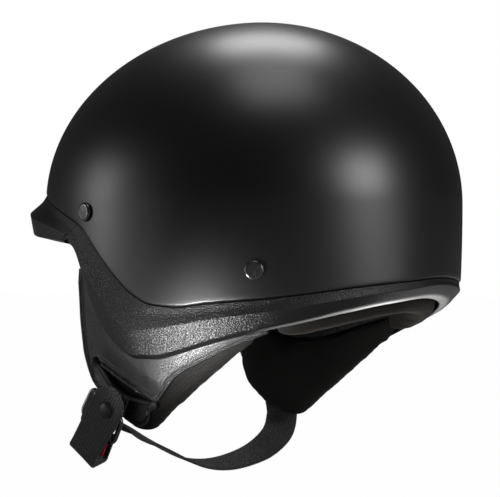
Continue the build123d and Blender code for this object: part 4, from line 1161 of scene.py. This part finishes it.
# Inside webbing: from each rivet's plate a flat leg runs down between skin and pad to the slot. Its line
# goes from the plate to the flap in one press and then follows the leaning cylinder behind the skin.
yokeForm = {"front": (-62.5, -5.8, 0.62, 6.8, 13.6), "rear": (57.4, -41.5, 0.5, 19.8, 16.5), "depth": 6.8,
            "rise": 8.1, "inward": 3.6}


def makeYoke(side, label):
    for leg in ("front", "rear"):
        y, z, press, lowY, lowZ = yokeForm[leg]
        length = shellForm["front"] if y < 0 else shellForm["rear"]
        x = shellForm["halfWidth"] * np.sqrt(1 - (y / length) ** 2 - (z / shellForm["taper"]) ** 2)
        normal = unit(np.array([x / shellForm["halfWidth"] ** 2, y / length ** 2,
                                z / shellForm["taper"] ** 2]))
        upright = np.cross(normal, unit(np.cross([0.0, 0.0, 1.0], normal)))
        top = np.array([x, y, z]) - normal * yokeForm["depth"] + upright * yokeForm["rise"]
        share = np.linspace(press, 1, 40)
        runY = top[1] + (strapForm["slotY"] + lowY - top[1]) * share
        runZ = top[2] + (strapForm["slotZ"] + lowZ - top[2]) * share
        low = np.stack([flapX(runY, runZ, yokeForm["inward"]), runY, runZ], 1)
        bend = top + (low[0] - top) * np.linspace(0, 1, 20)[:-1, None]
        line = np.vstack([bend, low])
        outward = np.stack([1 + 0 * line[:, 0], (line[:, 1] - flapForm["middleY"]) / flapForm["radius"],
                            -np.tan(np.radians(flapForm["lean"])) + 0 * line[:, 0]], 1)
        ease = smoothStep(np.arange(len(line)), 0, 22)[:, None]
        across = np.cross(normal * (1 - ease) + outward * ease, unit(np.gradient(line, axis=0)))
        stripPiece(label + leg.capitalize() + "Leg", flipped(line, side), flipped(across, side),
                   strapForm["width"], strapForm["thickness"], webbing, slot="webbing",
                   replaces=(label + "_strap_yoke",))


endForm = {"foldSpread": 1.10, "spread": 1.20, "askew": 9.0, "shift": 1.6, "capShift": 0.8, "bend": 6.4,
           "roundFrom": 43.0, "roundLength": 10.9, "bow": 0.25}


# A direction or a place of the strap's end, turned about the way out of the flap: the end is folded up
# askew.
def askew(vectors, share):
    turn = np.radians(endForm["askew"]) * np.asarray(share, float).reshape(-1, 1)
    across, up = (vectors @ strapAcross)[:, None], (vectors @ strapUp)[:, None]
    return ((vectors @ strapOut)[:, None] * strapOut
            + (across * np.cos(turn) + up * np.sin(turn)) * strapAcross
            + (up * np.cos(turn) - across * np.sin(turn)) * strapUp)


# The strap's end: a fold with two rounded corners under the rings, turned askew and widened step by step,
# then the flat tail with a half round end. The fold opens out with the tail; it is baked in place and
# joined to no body.
def makeStrapEnd():
    joinUp, foldLow = buckleForm["joinUp"], buckleForm["foldLow"]
    corners = [(backOut, joinUp), (backOut, foldLow), (tailOut, foldLow), (tailOut, joinUp)]
    fold = inBuckle(evenly(roundedRoute(corners, [endForm["bend"]] * 2), 70))
    share = smoothStep(np.arange(70), 6, 66)
    fold = foldOrigin + askew(fold - foldOrigin, share) + strapAcross * endForm["shift"] * share[:, None]
    width = strapForm["width"] * (1 + (endForm["foldSpread"] - 1) * share)
    piece = stripPiece("strapFold", fold, askew(acrossFor(fold), share), width, strapForm["thickness"],
                       webbing, slot="webbing", replaces=("strap_fold",), body=None)
    start = foldOrigin + strapOut * (backOut + 3) + strapUp * foldLow
    end = foldOrigin + strapOut * tailOut + strapUp * 5.0
    tuple(start * mm)
    tuple(end * mm)
    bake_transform(piece)
    roundFrom = endForm["roundFrom"]
    up = np.concatenate([np.linspace(joinUp, roundFrom, 40),
                         roundFrom + endForm["roundLength"] * np.sin(np.linspace(0, np.pi / 2, 24))[1:]])
    half = np.sqrt(np.maximum((strapForm["width"] / 2) ** 2 - np.maximum(up - roundFrom, 0) ** 2, 1.2))
    widen = endForm["spread"] - endForm["foldSpread"]
    half = half * (endForm["foldSpread"] + widen * smoothStep(up, joinUp, 36))
    route = np.stack([tailOut + endForm["bow"] * np.sin((up - joinUp) * 0.09), up], 1)
    line = foldOrigin + askew(inBuckle(route) - foldOrigin, 1.0) + strapAcross * endForm["shift"]
    stripPiece("strapTail", line, askew(acrossFor(line), 1.0), half * 2, strapForm["thickness"], webbing,
               slot="webbing", body="strap_end", replaces=("strap_tail",))


# The snap: a domed cap with a rolled rim outside the tail, its socket inside, and a stud on the strap
# behind it. Each is a profile of radius and distance out, turned about the way out of the flap.
def makeSnap():
    snap = {"up": 39.2, "cap": 5.2, "height": 2.2, "socket": 4.5}
    middle = askew((strapUp * snap["up"])[None], 1.0)[0] + foldOrigin
    middle = middle + strapAcross * (endForm["shift"] + endForm["capShift"])
    base = tailOut + strapForm["thickness"] / 2
    inner = tailOut - strapForm["thickness"] / 2
    seat = bulgeOut + strapForm["thickness"] / 2
    profiles = {
        "snapCap": ("strap_end", "snap_cap", [
            (0, base + snap["height"]), (1.6, base + snap["height"] - 0.06),
            (3.2, base + snap["height"] - 0.34), (4.3, base + snap["height"] - 0.75), (4.75, base + 1.05),
            (5.0, base + 0.95),
            (snap["cap"], base + 0.6), (snap["cap"], base + 0.3), (snap["cap"] - 0.25, base), (2.2, base),
            (2.2, inner), (snap["socket"], inner), (snap["socket"], inner - 0.5), (1.9, inner - 0.6),
            (1.8, inner - 0.2), (0, inner - 0.2)]),
        "snapStud": ("helmet", "snap_stud", [
            (0, seat + 0.9), (1.5, seat + 0.88), (1.7, seat + 0.6), (1.5, seat + 0.35), (3.9, seat + 0.3),
            (snap["socket"], seat + 0.12), (snap["socket"], seat - 0.1), (0, seat - 0.1)])}
    turn = fullTurn(48)[..., None]
    for name, (body, node, profile) in profiles.items():
        profile = evenly(np.array(profile), 60)
        radius, out = profile[:, 0][:, None, None], profile[:, 1][:, None, None]
        points = middle + radius * (np.cos(turn) * strapAcross + np.sin(turn) * strapUp) + out * strapOut
        gridPiece(name, points, snapLacquer, wrapCols=True, closed=True, creaseAngle=42, slot="black_nickel",
                  body=body, replaces=(node,))


# The pull tab: a narrow ribbon over the inner ring's lower bar, both plies hanging together.
def makePullTab():
    tab = {"width": 9.0, "thickness": 0.6, "shift": 4.6, "low": 3.1, "join": 10.5, "slack": 0.2}
    bar = np.array([innerBar[0], innerBar[1] - buckleForm["ringHeight"]])
    turn = np.linspace(np.pi, 0, 15)
    radius = buckleForm["wire"] / 2 + tab["slack"] + tab["thickness"] / 2
    over = bar + radius * np.stack([np.cos(turn), np.sin(turn)], 1)
    route = np.vstack([[[bar[0] - 0.35, tab["low"]], [bar[0] - 0.4, tab["join"]]], over,
                       [[bar[0] + 0.4, tab["join"]], [bar[0] + 0.35, tab["low"]]]])
    line = inBuckle(evenly(route, 80)) + strapAcross * tab["shift"]
    stripPiece("pullTab", line, acrossFor(line), tab["width"], tab["thickness"], redRibbon, slot="tab_ribbon",
               body="pull_tab", replaces=("pull_tab",))


# Two rows of stitches on the buckle strap's ply, over the rings: beads that lie across the strap.
def makeStrapStitches():
    stitches = {"reach": 8.4, "count": 8, "rows": (36.2, 38.6), "lift": 0.85, "length": 1.9, "radius": 0.3}
    across = np.linspace(-stitches["reach"], stitches["reach"], stitches["count"])
    flat = np.stack(np.meshgrid(across, np.array(stitches["rows"])), -1).reshape(-1, 2)
    middles = inBuckle(np.stack([plyOut + stitches["lift"] + 0 * flat[:, 1], flat[:, 1]], 1))
    middles = middles + flat[:, :1] * strapAcross
    stitchPiece("loopStitches", middles, acrossFor(middles), np.tile(strapOut, (len(middles), 1)),
                stitches["length"], stitches["radius"], sewingThread, slot="webbing")


makeYoke(1, "left")
makeYoke(-1, "right")
makeBuckleStrap()
makeChinStrap()
makeStrapEnd()
makeSnap()
makePullTab()
makeStrapStitches()
print("straps made")


# CAD pieces whose shape stays

def paintNodes(finish, *names):
    for name in names:
        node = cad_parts[name]
        node.data.materials.clear()
        node.data.materials.append(finish)


paintNodes(blackMetal, "inner_ring", "outer_ring", "strap_rivets")
paintNodes(plateSteel, "anchor_plates")
paintNodes(moldedFoam, "eps_liner")
print("nodes painted")


# Studio

studio = {"target": (0.0, -0.0083, -0.0285), "azimuth": (0.8660, 0.5, 0.0), "distance": 1.8, "lens": 200.8,
          "floor": -0.1765, "floorReach": 6.0, "floorGrey": 0.3, "floorShown": 0.988, "floorMirror": 0.12,
          "world": 0.035, "skyMirror": 0.025}


def makeCamera():
    camera = bpy.data.objects.new("photoCamera", bpy.data.cameras.new("photoCamera"))
    bpy.context.collection.objects.link(camera)
    target = Vector(studio["target"])
    camera.location = target + Vector(studio["azimuth"]).normalized() * studio["distance"]
    camera.rotation_euler = (camera.location - target).to_track_quat("Z", "Y").to_euler()
    camera.data.sensor_fit = "HORIZONTAL"
    camera.data.sensor_width = 36.0
    camera.data.lens = studio["lens"]
    camera.data.clip_end = 50
    bpy.context.scene.camera = camera


# How much of the white background a ray sees: nearly all for the camera and through clear things, and a
# little in reflections, so that the black paint stays dark.
def backgroundShare(nodes, cameraShare, mirrorShare):
    camera, through, mirror = [nodes.node("ShaderNodeLightPath", output="Is " + kind + " Ray")
                               for kind in ("Camera", "Transmission", "Glossy")]
    return (camera * cameraShare).larger(through).larger(mirror * mirrorShare)


# White to the camera, mid grey to the light, so the floor keeps a faint shadow and sends little light up.
def makeFloor():
    material = bpy.data.materials.new("studioFloor")
    material.use_nodes = True
    nodes = Nodes(material.node_tree)
    glow = nodes.node("ShaderNodeEmission", {}, {"Color": grey(1.0), "Strength": 1.0})
    matt = nodes.node("ShaderNodeBsdfDiffuse", {}, {"Color": grey(studio["floorGrey"])})
    share = backgroundShare(nodes, studio["floorShown"], studio["floorMirror"])
    blend = nodes.node("ShaderNodeMixShader", {}, {0: share, 1: matt, 2: glow})
    nodes.node("ShaderNodeOutputMaterial", {}, {"Surface": blend})
    reach, level = studio["floorReach"], studio["floor"]
    mesh = bpy.data.meshes.new("studioFloor")
    mesh.from_pydata([(-reach, -reach, level), (reach, -reach, level), (reach, reach, level),
                      (-reach, reach, level)], [], [(0, 1, 2, 3)])
    mesh.materials.append(material)
    floor = bpy.data.objects.new("studioFloor", mesh)
    bpy.context.collection.objects.link(floor)


def makeWorld():
    world = bpy.data.worlds.new("studioWorld")
    bpy.context.scene.world = world
    world.use_nodes = True
    nodes = Nodes(world.node_tree)
    share = backgroundShare(nodes, 1.0, studio["skyMirror"])
    soft = nodes.node("ShaderNodeBackground", {}, {"Color": grey(0.8), "Strength": studio["world"]})
    white = nodes.node("ShaderNodeBackground", {}, {"Color": grey(1.0), "Strength": 1.0})
    blend = nodes.node("ShaderNodeMixShader", {}, {0: share, 1: soft, 2: white})
    nodes.node("ShaderNodeOutputWorld", {}, {"Surface": blend})


# Soft boxes: where each stands, what it faces, its size in metres, its power in watts and its spread in
# degrees.
boxAim = (0.0, 0.0, -0.02)
trimAim = (0.117, 0.020, -0.080)
bevelAim = (0.03, 0.122, -0.062)
softBoxes = {
    "topBox": ((-0.49, -0.27, 1.08), boxAim, (0.58, 0.48), 7.4, 180),
    "crownBox": ((0.17, 0.15, 1.17), boxAim, (0.60, 0.60), 4.0, 180),
    "rightBox": ((0.17, 1.25, 0.36), boxAim, (0.52, 0.46), 9.4, 180),
    "rightLowBox": ((-0.01, 1.0, -0.09), boxAim, (0.50, 0.12), 0.7, 180),
    "leftBox": ((0.61, -1.14, 0.15), boxAim, (0.35, 0.50), 3.1, 180),
    "leftLowBox": ((0.72, -0.62, -0.105), boxAim, (0.40, 0.10), 0.26, 180),
    "trimBox": ((0.250, -0.012, -0.146), trimAim, (0.06, 0.035), 0.085, 40),
    "bevelBox": ((-0.14, 0.08, -0.166), bevelAim, (0.16, 0.03), 0.004, 60)}


def makeSoftBoxes():
    for name, (place, aim, size, watts, spread) in softBoxes.items():
        light = bpy.data.lights.new(name, "AREA")
        light.shape = "RECTANGLE"
        light.size, light.size_y = size
        light.energy = watts
        light.spread = np.radians(spread)
        holder = bpy.data.objects.new(name, light)
        bpy.context.collection.objects.link(holder)
        holder.location = place
        holder.visible_camera = False
        holder.rotation_euler = (Vector(place) - Vector(aim)).to_track_quat("Z", "Y").to_euler()


bpy.context.scene.view_settings.view_transform = "Standard"
makeCamera()
makeFloor()
makeWorld()
makeSoftBoxes()
print("studio made")
